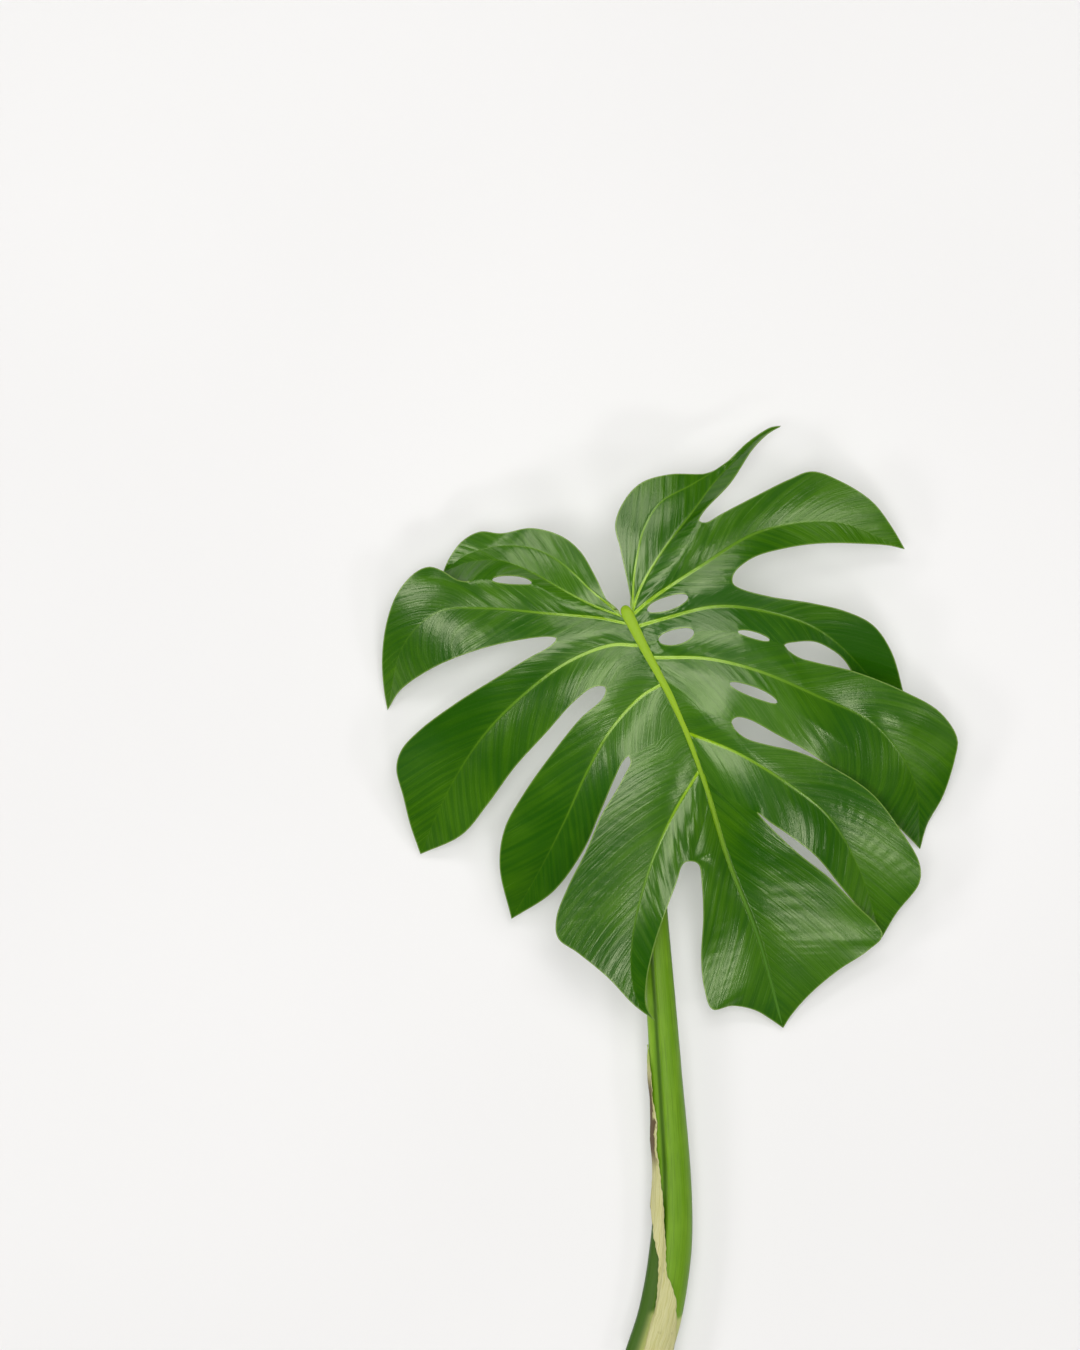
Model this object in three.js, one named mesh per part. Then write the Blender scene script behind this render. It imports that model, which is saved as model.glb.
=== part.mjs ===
// A picked leaf of a Swiss cheese plant, lying on its back with the upper side of the blade facing up.
// Millimetres, +Z up. +Y runs from the cut end of the stalk towards the notch at the base of the blade.
// The blade is a thin shell of lobes that share the seams between them as far as the clefts, the stalk
// passes underneath it and turns up into the underside of the midrib, and a dried papery sheath clasps
// the lower part of the stalk. The leaf rests on the tips of its lobes and on the cut end of the stalk.

import * as THREE from 'three';

// ---- Driving dimensions -------------------------------------------------------------------------

const BLADE_THICKNESS = 0.9;
const BASE_HEIGHT = 62; // upper face of the midrib where the stalk joins it
const APEX_HEIGHT = 4; // upper face at the apex of the terminal lobe
const MIDRIB_ARCH = 2.2; // power of the midrib's fall from base to apex
const MIDRIB_EASE = 4; // power by which the lobes' heights are eased to the midrib's
const MIDRIB_HALF_WIDTH = { thin: 0.7, extra: 3.1, fade: 65, tip: 12 };
const RIB_DEPTH = { thin: 0.6, extra: 6, fade: 60 }; // how far the midrib stands out underneath
const FOLD = { rise: 5, reach: 0.625 }; // the rise of the blade beside the midrib, and the share it ends at
const DROOP_POWER = 1.9; // power of a lobe's fall from the midrib to its tip
const QUILT = { height: 2.2, grows: 0.2 }; // height of the seams over the veins, reached by this share
const FREE_EDGE = { settles: 0.5, tipPower: 3 }; // how a free edge takes its own height, then the tip's
const TERMINAL_EDGE_FALL = 6; // how far the terminal lobe's edges droop below its midrib
const STALK_GAP = 0.4; // between the knuckle at the stalk's head and the midrib above it
const SHEATH_GAP = 0.5;
const SHEATH_THICKNESS = 0.9;

const ROWS = 20; // steps along a lobe, from the midrib to its tip
const HOLE_ROWS = 4; // steps along a hole
const EDGE_SAMPLES = 200; // fine steps that a free edge is measured by
const COLUMNS = 2; // steps across each strip of a lobe
const RIB_STEPS = 24;
const STALK_RINGS = 34;
const STALK_SIDES = 18;
const SHEATH_RINGS = 16;
const SHEATH_COLUMNS = 5;
const PLACE_DIGITS = 3; // places that agree to this many decimals are one place
const ROUNDING = 1e-9; // slack when distances along an edge are compared

// ---- Outline, in plan, from the base of the blade ------------------------------------------------

// Centre line of the midrib, from the base to the apex.
const MIDRIB = [[-1, 2], [10, -20], [29, -56], [45, -98], [60, -146], [78, -192], [94, -248]];

// A side is the part of the blade on one hand of the midrib: -1 is left, 1 is right. Its margin is the free
// edge from the stalk to the tip of the first lobe.
// A lobe's vein leaves the midrib `leaves` along it and runs to the tip. height is the upper face at the
// tip. near and far say how much higher than the vein the free edges on the base's and the apex's side lie.
// lag is over 1 where the vein keeps behind the edges at first. An inner line is a row of holes between
// the vein and the cleft: it leaves the midrib too, and runs through its own points to the tip.
// A cleft lies between one lobe and the next: its seam leaves the midrib and runs to the sinus, near is
// the free edge of the lobe nearer the base, and far is that of the lobe nearer the apex. rows is how many
// of a lobe's steps the seam takes. holes lie on the seam or the inner line, centre is how far along it.
const RIGHT_SIDE = {
  hand: 1,
  margin: [
    [0, 17], [-5, 40], [-8, 55], [-2, 70], [8, 80], [25, 85], [47, 86], [58, 92], [72, 105], [86, 114],
  ],
  lobes: [
    {
      leaves: 0, vein: [[7, 17], [20, 39], [37, 61], [51, 80], [66, 96], [80, 109]], tip: [92, 115],
      height: 22, near: -2, far: 1, lag: 1.3,
    },
    {
      leaves: 2, vein: [[13, 10], [43, 30], [79, 51], [124, 57]], tip: [167, 41],
      height: 14, near: 0, far: -3,
    },
    {
      leaves: 10, vein: [[22, -1], [52, 6], [82, 3], [116, -9], [148, -39]], tip: [164, -62],
      height: 4, near: -3, far: -3,
    },
    {
      leaves: 31, vein: [[46, -25], [76, -32], [112, -47], [148, -65], [172, -98]], tip: [177, -140],
      height: 0, near: 2, far: -2,
      inner: {
        leaves: 43,
        through: [[37, -36], [54, -38], [69, -43], [84, -49], [112, -65], [142, -88], [165, -117]],
        holes: [{ centre: 55, length: 31, width: 6 }],
      },
    },
    {
      leaves: 81, vein: [[64, -81], [94, -99], [120, -120], [139, -152]], tip: [153, -194],
      height: 9, near: 2, far: 1,
    },
  ],
  clefts: [
    {
      leaves: 1, seam: [[16, 16], [31, 36]], sinus: [42, 57], rows: 8, holes: [],
      near: [[45, 63], [61, 80], [75, 101], [84, 110]],
      far: [[46, 56], [55, 61], [76, 72], [96, 82], [110, 87], [128, 81], [147, 69], [159, 54]],
    },
    {
      leaves: 6, seam: [[12, 4], [24, 8], [36, 12], [48, 15]], sinus: [62, 20], rows: 7,
      holes: [{ centre: 21, length: 26, width: 8 }],
      near: [[63, 26], [74, 35], [94, 41], [115, 44], [142, 44], [158, 43]],
      far: [[66, 17], [84, 12], [110, 8], [131, 3], [147, -5], [158, -20], [165, -41], [167, -52]],
    },
    {
      leaves: 20, seam: [[18, -14], [29, -12], [40, -9], [65, -9], [84, -14]], sinus: [93, -17], rows: 11,
      holes: [{ centre: 18, length: 22, width: 9 }, { centre: 65, length: 20, width: 4 }],
      near: [[101, -15], [112, -15], [121, -19], [129, -25], [142, -44], [153, -55]],
      far: [
        [101, -24], [111, -27], [136, -33], [166, -45], [187, -57], [198, -73], [197, -84], [190, -108],
        [181, -125],
      ],
    },
    {
      leaves: 55, seam: [[37, -53], [49, -58]], sinus: [61, -63], rows: 5, holes: [],
      near: [[64, -60], [71, -61], [88, -70], [111, -83], [136, -102], [167, -130]],
      far: [
        [65, -69], [71, -73], [81, -76], [102, -81], [122, -90], [146, -106], [164, -129], [175, -148],
        [175, -160], [162, -178],
      ],
    },
    {
      leaves: 106, seam: [[52, -102], [64, -110]], sinus: [77, -117], rows: 5, holes: [],
      near: [[85, -123], [94, -129], [112, -143], [128, -162], [143, -180]],
      far: [
        [84, -125], [101, -141], [120, -156], [135, -171], [153, -191], [145, -200], [126, -213],
        [110, -227], [99, -240],
      ],
    },
  ],
};

const LEFT_SIDE = {
  hand: -1,
  margin: [
    [-12, 8], [-20, 24], [-29, 39], [-40, 48], [-58, 53], [-76, 50], [-89, 51], [-100, 45], [-108, 34],
  ],
  lobes: [
    {
      leaves: 0, vein: [[-22, 7], [-41, 17], [-53, 24], [-65, 30], [-78, 34], [-95, 33]], tip: [-111, 27],
      height: 26, near: -2, far: 0,
    },
    {
      leaves: 5, vein: [[-17, -1], [-50, 2], [-84, 5], [-114, 3], [-135, -17]], tip: [-145, -56],
      height: 0, near: -2, far: -3,
    },
    {
      leaves: 20, vein: [[-10, -17], [-36, -27], [-62, -46], [-85, -69], [-104, -97], [-119, -128]],
      tip: [-125, -143], height: 4, near: -2, far: -2,
    },
    {
      leaves: 47, vein: [[7, -48], [-11, -68], [-25, -93], [-38, -122], [-53, -152]], tip: [-70, -182],
      height: 8, near: -3, far: -3,
    },
    {
      leaves: 104, vein: [[27, -117], [13, -149], [3, -188], [2, -215], [7, -232]], tip: [16, -242],
      height: 37, near: -3, far: -1,
    },
  ],
  clefts: [
    {
      leaves: 2, seam: [[-20, 2], [-40, 9], [-58, 20], [-72, 22], [-84, 22]], sinus: [-95, 21], rows: 12,
      holes: [{ centre: 71, length: 24, width: 5 }],
      near: [[-101, 21], [-106, 23]],
      far: [
        [-102, 22], [-112, 28], [-119, 30], [-127, 27], [-138, 15], [-145, -3], [-148, -25], [-147, -44],
      ],
    },
    {
      leaves: 12, seam: [[-14, -9], [-29, -12]], sinus: [-43, -13], rows: 5, holes: [],
      near: [[-48, -12], [-71, -15], [-94, -21], [-118, -31], [-137, -44]],
      far: [
        [-46, -17], [-60, -25], [-78, -36], [-102, -51], [-125, -68], [-136, -80], [-139, -91],
        [-135, -108], [-131, -125],
      ],
    },
    {
      leaves: 34, seam: [[4, -32], [-5, -37]], sinus: [-14, -42], rows: 4, holes: [],
      near: [[-21, -42], [-33, -51], [-49, -69], [-68, -90], [-84, -112], [-100, -131]],
      far: [[-15, -48], [-29, -61], [-45, -81], [-62, -105], [-74, -127], [-77, -150]],
    },
    {
      leaves: 75, seam: [[20, -72], [10, -78]], sinus: [0, -83], rows: 5, holes: [],
      near: [[-4, -87], [-9, -98], [-17, -117], [-27, -140], [-45, -165]],
      far: [
        [1, -86], [-4, -93], [-9, -104], [-17, -118], [-25, -139], [-36, -161], [-43, -180], [-42, -192],
        [-30, -201], [-12, -216], [3, -232],
      ],
    },
    {
      leaves: 122, seam: [[45, -122], [41, -135]], sinus: [38, -146], rows: 5, holes: [],
      near: [[33, -147], [28, -160], [22, -176], [15, -198], [11, -218], [11, -233]],
      far: [
        [42, -148], [44, -160], [45, -180], [44, -205], [46, -223], [51, -236], [63, -234], [77, -237],
        [87, -243],
      ],
    },
  ],
};

// ---- Stalk: centre line, half-width and half-height, from the cut end to the knuckle --------------

const KNUCKLE_HEIGHT = BASE_HEIGHT - BLADE_THICKNESS - RIB_DEPTH.thin - RIB_DEPTH.extra - STALK_GAP;
const STALK = [
  { at: [12, -446, 12], across: 13.5, deep: 11.5 },
  { at: [20, -419, 13], across: 13, deep: 11.5 },
  { at: [26, -380, 14.5], across: 12.6, deep: 11.5 },
  { at: [27, -344, 16], across: 11.5, deep: 11 },
  { at: [23, -275, 20], across: 9.6, deep: 9.4 },
  { at: [16, -179, 25.5], across: 8, deep: 7.8 },
  { at: [10, -90, 30], across: 7, deep: 6.8 },
  { at: [6, -45, 32.5], across: 6.4, deep: 6.2 },
  { at: [4, -22, 34.5], across: 6.4, deep: 6.2 },
  { at: [3, -10, 39], across: 6.8, deep: 6.4 },
  { at: [3, -5, 47], across: 6.4, deep: 6 },
  { at: [3, -5, KNUCKLE_HEIGHT], across: 5.8, deep: 5.4 },
];

// The groove lies at an angle round the stalk, in degrees. Its depth is a share of the radius: baseDepth at
// the cut end, easing to depth by the share eases, and fading out over the share fades below the knuckle.
const GROOVE = { angle: 125, spread: 22, depth: 0.16, baseDepth: 0.34, eases: 0.4, fades: 0.2 };

// The sheath's first and last edge round the stalk, in degrees, by share of the sheath's length.
const SHEATH_HEAD = 0.42; // where the sheath ends, as a share of the stalk's length from the cut end
const SHEATH_EDGES = [
  { share: 0, first: 20, last: 110 },
  { share: 0.15, first: 45, last: 112 },
  { share: 0.3, first: 97, last: 132 },
  { share: 0.4, first: 113, last: 172 },
  { share: 0.6, first: 136, last: 186 },
  { share: 0.85, first: 146, last: 190 },
  { share: 1, first: 168, last: 178 },
];

// ---- Small helpers -------------------------------------------------------------------------------

const lerp = THREE.MathUtils.lerp;
const smoothstep = THREE.MathUtils.smoothstep;

function planCurve(points) {
  const places = points.map(([x, y]) => new THREE.Vector3(x, y, 0));
  return new THREE.CatmullRomCurve3(places, false, 'centripetal');
}

const midribCurve = planCurve(MIDRIB);
const midribLength = midribCurve.getLength();

function midribHeight(distance) {
  const share = distance / midribLength;
  return BASE_HEIGHT - (BASE_HEIGHT - APEX_HEIGHT) * share ** MIDRIB_ARCH;
}

function midribHalfWidth(distance) {
  const { thin, extra, fade, tip } = MIDRIB_HALF_WIDTH;
  const nearTip = Math.min(1, (midribLength - distance) / tip);
  return (thin + extra * Math.exp(-distance / fade)) * nearTip;
}

function ribDepth(distance) {
  const { thin, extra, fade } = RIB_DEPTH;
  return thin + extra * Math.exp(-distance / fade);
}

// A point on the midrib in plan, moved sideways: hand is -1 for its left border, 0 its centre, 1 its right.
function midribPoint(distance, hand) {
  const share = distance / midribLength;
  const centre = midribCurve.getPointAt(share);
  const along = midribCurve.getTangentAt(share);
  const reach = hand * midribHalfWidth(distance);
  return [centre.x - along.y * reach, centre.y + along.x * reach];
}

// ---- Blade ---------------------------------------------------------------------------------------

// Gathers the upper face of the blade: each place once, then triangles of the places' numbers.
class Sheet {
  constructor() {
    this.places = [];
    this.numbers = new Map();
    this.triangles = [];
  }

  place(x, y, z, depth = BLADE_THICKNESS) {
    const key = [x, y, z].map((value) => value.toFixed(PLACE_DIGITS)).join(' ');
    if (!this.numbers.has(key)) {
      this.numbers.set(key, this.places.length);
      this.places.push({ x, y, z, depth });
    }
    return this.numbers.get(key);
  }

  // Adds a triangle with its face up; one that has shrunk to a line is left out.
  triangle(a, b, c) {
    if (a === b || b === c || c === a) {
      return;
    }
    const [p, q, r] = [a, b, c].map((number) => this.places[number]);
    const area = (q.x - p.x) * (r.y - p.y) - (r.x - p.x) * (q.y - p.y);
    this.triangles.push(area > 0 ? [a, b, c] : [a, c, b]);
  }

  grid(rows) {
    for (let i = 1; i < rows.length; i += 1) {
      for (let j = 1; j < rows[i].length; j += 1) {
        this.triangle(rows[i - 1][j - 1], rows[i - 1][j], rows[i][j]);
        this.triangle(rows[i - 1][j - 1], rows[i][j], rows[i][j - 1]);
      }
    }
  }

  // Fills the strip between two lines of {number, distance} whose places don't face each other.
  stitch(first, second) {
    let i = 0;
    let j = 0;
    while (i < first.length - 1 || j < second.length - 1) {
      const nextFirst = i < first.length - 1 ? first[i + 1].distance : Infinity;
      const nextSecond = j < second.length - 1 ? second[j + 1].distance : Infinity;
      if (nextFirst <= nextSecond) {
        this.triangle(first[i].number, first[i + 1].number, second[j].number);
        i += 1;
      } else {
        this.triangle(first[i].number, second[j + 1].number, second[j].number);
        j += 1;
      }
    }
  }

  // Closes the sheet into a solid with an underside below every place and a wall along every edge.
  solid() {
    const count = this.places.length;
    const position = new Float32Array(count * 6);
    this.places.forEach(({ x, y, z, depth }, number) => {
      position.set([x, y, z], number * 3);
      position.set([x, y, z - depth], (count + number) * 3);
    });
    const open = new Map();
    for (const [a, b, c] of this.triangles) {
      for (const [from, to] of [[a, b], [b, c], [c, a]]) {
        if (!open.delete(`${to} ${from}`)) {
          open.set(`${from} ${to}`, [from, to]);
        }
      }
    }
    const index = this.triangles.flat();
    for (const [a, b, c] of this.triangles) {
      index.push(count + a, count + c, count + b);
    }
    for (const [from, to] of open.values()) {
      index.push(to, from, count + from, to, count + from, count + to);
    }
    return indexedGeometry(position, index);
  }
}

function indexedGeometry(position, index) {
  const geometry = new THREE.BufferGeometry();
  geometry.setAttribute('position', new THREE.BufferAttribute(position, 3));
  geometry.setIndex(index);
  geometry.computeVertexNormals();
  return geometry;
}

// Half the width of the holes at a distance along a line: each hole is a long lens.
function holeHalfWidth(holes, distance) {
  for (const { centre, length, width } of holes) {
    const share = (distance - centre) / (length / 2);
    if (Math.abs(share) < 1) {
      return (width / 2) * Math.sqrt(1 - share ** 2);
    }
  }
  return 0;
}

// Distances along a line of a given length: each hole takes HOLE_ROWS steps from end to end, and the
// stretches between them share the other steps.
function spacedDistances(length, count, holes) {
  const holeEnds = holes.flatMap((hole) => [hole.centre - hole.length / 2, hole.centre + hole.length / 2]);
  const ends = [0, ...holeEnds, length];
  const plain = length - holes.reduce((sum, hole) => sum + hole.length, 0);
  const free = count - holes.length * HOLE_ROWS;
  const distances = [0];
  let used = 0;
  let passed = 0;
  for (let i = 1; i < ends.length; i += 1) {
    const stretch = ends[i] - ends[i - 1];
    const isHole = i % 2 === 0;
    passed += isHole ? 0 : stretch;
    const steps = isHole ? HOLE_ROWS : Math.max(1, Math.round((free * passed) / plain) - used);
    used += isHole ? 0 : steps;
    for (let step = 1; step <= steps; step += 1) {
      distances.push(ends[i - 1] + (stretch * step) / steps);
    }
  }
  return distances;
}

// Points at distances along a line in plan, pushed to one side where it runs round a hole.
function linePoints(points, distances, holes = [], side = 0) {
  const curve = planCurve(points);
  const length = curve.getLength();
  return distances.map((distance) => {
    const share = Math.min(1, distance / length);
    const centre = curve.getPointAt(share);
    const along = curve.getTangentAt(share);
    const reach = side * holeHalfWidth(holes, distance);
    return [centre.x - along.y * reach, centre.y + along.x * reach];
  });
}

function lineLength(points) {
  return planCurve(points).getLength();
}

function evenSteps(length, count) {
  return Array.from({ length: count + 1 }, (_, i) => (length * i) / count);
}

// The free edge of a lobe from the sinus to the tip. It is one end of the smooth curve that runs from
// tip to tip round the sinus, so the sinus is rounded.
function freeEdge(cleft, name, tips, count) {
  const other = name === 'near' ? 'far' : 'near';
  const round = [tips[other], ...cleft[other].slice().reverse(), cleft.sinus, ...cleft[name], tips[name]];
  const curve = planCurve(round);
  const start = (cleft[other].length + 1) / (round.length - 1);
  const fine = evenSteps(1, EDGE_SAMPLES).map((share) => curve.getPoint(lerp(start, 1, share)));
  const passed = [0];
  for (let i = 1; i <= EDGE_SAMPLES; i += 1) {
    passed.push(passed[i - 1] + fine[i].distanceTo(fine[i - 1]));
  }
  return evenSteps(passed[EDGE_SAMPLES], count).map((distance) => {
    const after = Math.max(1, passed.findIndex((value) => value >= distance - ROUNDING));
    const share = (distance - passed[after - 1]) / (passed[after] - passed[after - 1]);
    const place = fine[after - 1].clone().lerp(fine[after], share);
    return [place.x, place.y];
  });
}

// One edge of a lobe: the seam from the midrib to the sinus, then the free edge to the tip.
function cleftLine(side, index, name) {
  const cleft = side.clefts[index];
  const apex = MIDRIB[MIDRIB.length - 1];
  const tips = { near: side.lobes[index].tip, far: side.lobes[index + 1]?.tip ?? apex };
  const start = midribPoint(cleft.leaves, side.hand);
  const towardsBase = name === 'near' ? side.hand : -side.hand;
  const through = [start, ...cleft.seam, cleft.sinus];
  const distances = spacedDistances(lineLength(through), cleft.rows, cleft.holes);
  const seam = linePoints(through, distances, cleft.holes, towardsBase);
  return [...seam, ...freeEdge(cleft, name, tips, ROWS - cleft.rows).slice(1)];
}

// How far along a line each of its points is, as a share of its length.
function passedShares(points) {
  const passed = [0];
  for (let i = 1; i < points.length; i += 1) {
    passed.push(passed[i - 1] + Math.hypot(points[i][0] - points[i - 1][0], points[i][1] - points[i - 1][1]));
  }
  return passed.map((distance) => distance / passed[passed.length - 1]);
}

// Height of the upper face along a lobe's vein: it rises a little beside the midrib, then droops.
function veinHeight(lobe, share) {
  const start = midribHeight(lobe.leaves);
  const rise = FOLD.rise * Math.sin(Math.PI * Math.min(1, share / FOLD.reach)) * (1 - share);
  return lerp(start, lobe.height, share ** DROOP_POWER) + rise;
}

// Heights along the edge of a lobe. Up to the sinus the two lobes share them; beyond it the edge
// settles at its own height above or below the vein.
function edgeHeights(own, other, cleftRows, offset) {
  let sinusOffset = 0;
  return own.map((height, row) => {
    if (row <= cleftRows) {
      const shared = (height + other[row]) / 2 + QUILT.height * smoothstep(row / ROWS, 0, QUILT.grows);
      sinusOffset = shared - height;
      return shared;
    }
    const past = (row - cleftRows) / (ROWS - cleftRows);
    const settled = lerp(sinusOffset, offset, smoothstep(past, 0, FREE_EDGE.settles));
    return height + settled * (1 - past ** FREE_EDGE.tipPower);
  });
}

// One line of a lobe: its places in plan, their heights, and where it leaves the midrib. Close to the
// midrib the heights are eased to the midrib's own.
function line(points, heights, leaves) {
  const lift = midribHeight(leaves) - heights[0];
  const eased = heights.map((height, row) => height + lift * (1 - row / ROWS) ** MIDRIB_EASE);
  return { points, heights: eased, leaves };
}

// Lays out one side: for each lobe its two edges in plan, its vein, which keeps pace with both edges,
// and the heights along the vein. The terminal lobe's vein is the end of the midrib.
function layOut(side) {
  const plans = side.lobes.map((lobe, index) => {
    const start = midribPoint(lobe.leaves, side.hand);
    const margin = [start, ...side.margin, lobe.tip];
    const near = index === 0
      ? linePoints(margin, evenSteps(lineLength(margin), ROWS))
      : cleftLine(side, index - 1, 'far');
    const far = cleftLine(side, index, 'near');
    const [nearShares, farShares] = [near, far].map(passedShares);
    const shares = nearShares.map((share, row) => ((share + farShares[row]) / 2) ** (lobe.lag ?? 1));
    const through = [start, ...lobe.vein, lobe.tip];
    const length = lineLength(through);
    const vein = linePoints(through, shares.map((share) => share * length));
    return { near, far, vein, shares, heights: shares.map((share) => veinHeight(lobe, share)) };
  });
  const last = side.clefts.length - 1;
  const { leaves } = side.clefts[last];
  const far = cleftLine(side, last, 'far');
  const distances = passedShares(far).map((share) => lerp(leaves, midribLength, share));
  const vein = distances.map((distance) => midribPoint(distance, side.hand));
  plans.push({ near: far, vein, distances, heights: distances.map(midribHeight) });
  return plans;
}

// The lines of a lobe, from the base's side to the apex's side.
function lobeLines(side, plans, index) {
  const lobe = side.lobes[index];
  const plan = plans[index];
  const [before, after] = [side.clefts[index - 1], side.clefts[index]];
  const previous = index === 0 ? plan.heights : plans[index - 1].heights;
  const nearLine = line(
    plan.near,
    edgeHeights(plan.heights, previous, before?.rows ?? 0, lobe.near),
    before?.leaves ?? lobe.leaves,
  );
  const farLine = line(
    plan.far,
    edgeHeights(plan.heights, plans[index + 1].heights, after.rows, lobe.far),
    after.leaves,
  );
  const lines = [nearLine, line(plan.vein, plan.heights, lobe.leaves)];
  if (lobe.inner) {
    const { leaves, through, holes } = lobe.inner;
    const places = [midribPoint(leaves, side.hand), ...through, lobe.tip];
    const distances = spacedDistances(lineLength(places), ROWS, holes);
    lines.push({
      ...line(linePoints(places, distances, holes, side.hand), plan.heights, leaves),
      farPoints: linePoints(places, distances, holes, -side.hand),
    });
  }
  return [...lines, farLine];
}

function terminalLines(side, plans) {
  const plan = plans[plans.length - 1];
  const cleft = side.clefts[side.clefts.length - 1];
  const previous = plans[plans.length - 2].heights;
  const edge = edgeHeights(plan.heights, previous, cleft.rows, -TERMINAL_EDGE_FALL);
  return {
    outer: line(plan.near, edge, cleft.leaves),
    inner: line(plan.vein, plan.heights, cleft.leaves),
    distances: plan.distances,
  };
}

// Fills the strip between two lines that end at the same tip.
function fillStrip(sheet, first, second) {
  const rows = [];
  for (let row = 0; row <= ROWS; row += 1) {
    const places = [];
    for (let column = 0; column <= COLUMNS; column += 1) {
      const share = column / COLUMNS;
      const x = lerp(first.points[row][0], second.points[row][0], share);
      const y = lerp(first.points[row][1], second.points[row][1], share);
      const z = lerp(first.heights[row], second.heights[row], share);
      places.push(sheet.place(x, y, z));
    }
    rows.push(places);
  }
  sheet.grid(rows);
  return rows;
}

// Builds the lobes of one side and returns the places that lie along the midrib's border.
function fillSide(sheet, side) {
  const border = [];
  const keep = (number, distance) => {
    if (!border.length || border[border.length - 1].number !== number) {
      border.push({ number, distance });
    }
  };
  const plans = layOut(side);
  side.lobes.forEach((_, index) => {
    const lines = lobeLines(side, plans, index);
    for (let i = 1; i < lines.length; i += 1) {
      const first = { ...lines[i - 1], points: lines[i - 1].farPoints ?? lines[i - 1].points };
      const second = lines[i];
      const rows = fillStrip(sheet, first, second);
      rows[0].forEach((number, column) => {
        keep(number, lerp(first.leaves, second.leaves, column / COLUMNS));
      });
    }
  });
  const { outer, inner, distances } = terminalLines(side, plans);
  const rows = fillStrip(sheet, outer, inner);
  rows.forEach((places, row) => keep(places[COLUMNS], distances[row]));
  return border;
}

function fillMidrib(sheet, leftBorder, rightBorder) {
  const centre = [];
  for (let step = 0; step <= RIB_STEPS; step += 1) {
    const distance = (midribLength * step) / RIB_STEPS;
    const [x, y] = midribPoint(distance, 0);
    const depth = BLADE_THICKNESS + (step < RIB_STEPS ? ribDepth(distance) : 0);
    centre.push({ number: sheet.place(x, y, midribHeight(distance), depth), distance });
  }
  sheet.stitch(leftBorder, centre);
  sheet.stitch(centre, rightBorder);
}

function bladeGeometry() {
  const sheet = new Sheet();
  const leftBorder = fillSide(sheet, LEFT_SIDE);
  const rightBorder = fillSide(sheet, RIGHT_SIDE);
  fillMidrib(sheet, leftBorder, rightBorder);
  return sheet.solid();
}

// ---- Stalk and sheath ----------------------------------------------------------------------------

const stalkPlaces = STALK.map(({ at }) => new THREE.Vector3(...at));
const stalkCurve = new THREE.CatmullRomCurve3(stalkPlaces, false, 'centripetal');

// Interpolates a named size of the stalk by share of its centre line.
function stalkSize(name, share) {
  const place = stalkCurve.getUtoTmapping(share) * (STALK.length - 1);
  const before = Math.min(Math.floor(place), STALK.length - 2);
  return lerp(STALK[before][name], STALK[before + 1][name], place - before);
}

// A point round the stalk: angle 0 is to the right, 90 is up and 180 to the left, out is the distance
// beyond the bark. The groove is a soft notch that deepens towards the base.
function stalkPoint(share, degrees, out) {
  const centre = stalkCurve.getPointAt(share);
  const along = stalkCurve.getTangentAt(share);
  const side = new THREE.Vector3(1, 0, 0).addScaledVector(along, -along.x).normalize();
  const up = new THREE.Vector3().crossVectors(side, along);
  const easing = lerp(GROOVE.baseDepth, GROOVE.depth, smoothstep(share, 0, GROOVE.eases));
  const depth = easing * smoothstep(1 - share, 0, GROOVE.fades);
  const notch = out > 0 ? 0 : depth * Math.exp(-(((degrees - GROOVE.angle) / GROOVE.spread) ** 2));
  const angle = THREE.MathUtils.degToRad(degrees);
  const across = stalkSize('across', share) * (1 - notch) + out;
  const deep = stalkSize('deep', share) * (1 - notch) + out;
  return centre.addScaledVector(side, across * Math.cos(angle)).addScaledVector(up, deep * Math.sin(angle));
}

// Closes a row of rings, each with the same number of places, into a solid with flat ends.
function loft(rings) {
  const sides = rings[0].length;
  const position = new Float32Array(rings.flat().flatMap((point) => point.toArray()));
  const index = [];
  for (let ring = 1; ring < rings.length; ring += 1) {
    for (let i = 0; i < sides; i += 1) {
      const j = (i + 1) % sides;
      const [a, b] = [(ring - 1) * sides + i, (ring - 1) * sides + j];
      const [c, d] = [ring * sides + i, ring * sides + j];
      index.push(a, d, b, a, c, d);
    }
  }
  const end = (rings.length - 1) * sides;
  const ends = THREE.ShapeUtils.triangulateShape(flatten(rings[0]), []);
  const heads = THREE.ShapeUtils.triangulateShape(flatten(rings[rings.length - 1]), []);
  ends.forEach(([a, b, c]) => index.push(a, b, c));
  heads.forEach(([a, b, c]) => index.push(end + a, end + c, end + b));
  return indexedGeometry(position, index);
}

// Lays a ring out flat, so that its end can be cut into triangles.
function flatten(ring) {
  const centre = new THREE.Vector3();
  ring.forEach((point) => centre.add(point));
  centre.divideScalar(ring.length);
  const side = ring[0].clone().sub(centre).normalize();
  const normal = new THREE.Vector3();
  ring.forEach((point, i) => {
    const next = ring[(i + 1) % ring.length];
    normal.add(point.clone().sub(centre).cross(next.clone().sub(centre)));
  });
  const other = new THREE.Vector3().crossVectors(normal.normalize(), side);
  return ring.map((point) => {
    const arm = point.clone().sub(centre);
    return new THREE.Vector2(arm.dot(side), arm.dot(other));
  });
}

function stalkGeometry() {
  const rings = [];
  for (let ring = 0; ring <= STALK_RINGS; ring += 1) {
    const share = ring / STALK_RINGS;
    rings.push(Array.from({ length: STALK_SIDES }, (_, i) => stalkPoint(share, (360 * i) / STALK_SIDES, 0)));
  }
  return loft(rings);
}

function sheathEdge(name, share) {
  const after = Math.max(1, SHEATH_EDGES.findIndex((edge) => edge.share >= share));
  const [a, b] = [SHEATH_EDGES[after - 1], SHEATH_EDGES[after]];
  return lerp(a[name], b[name], smoothstep(share, a.share, b.share));
}

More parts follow.
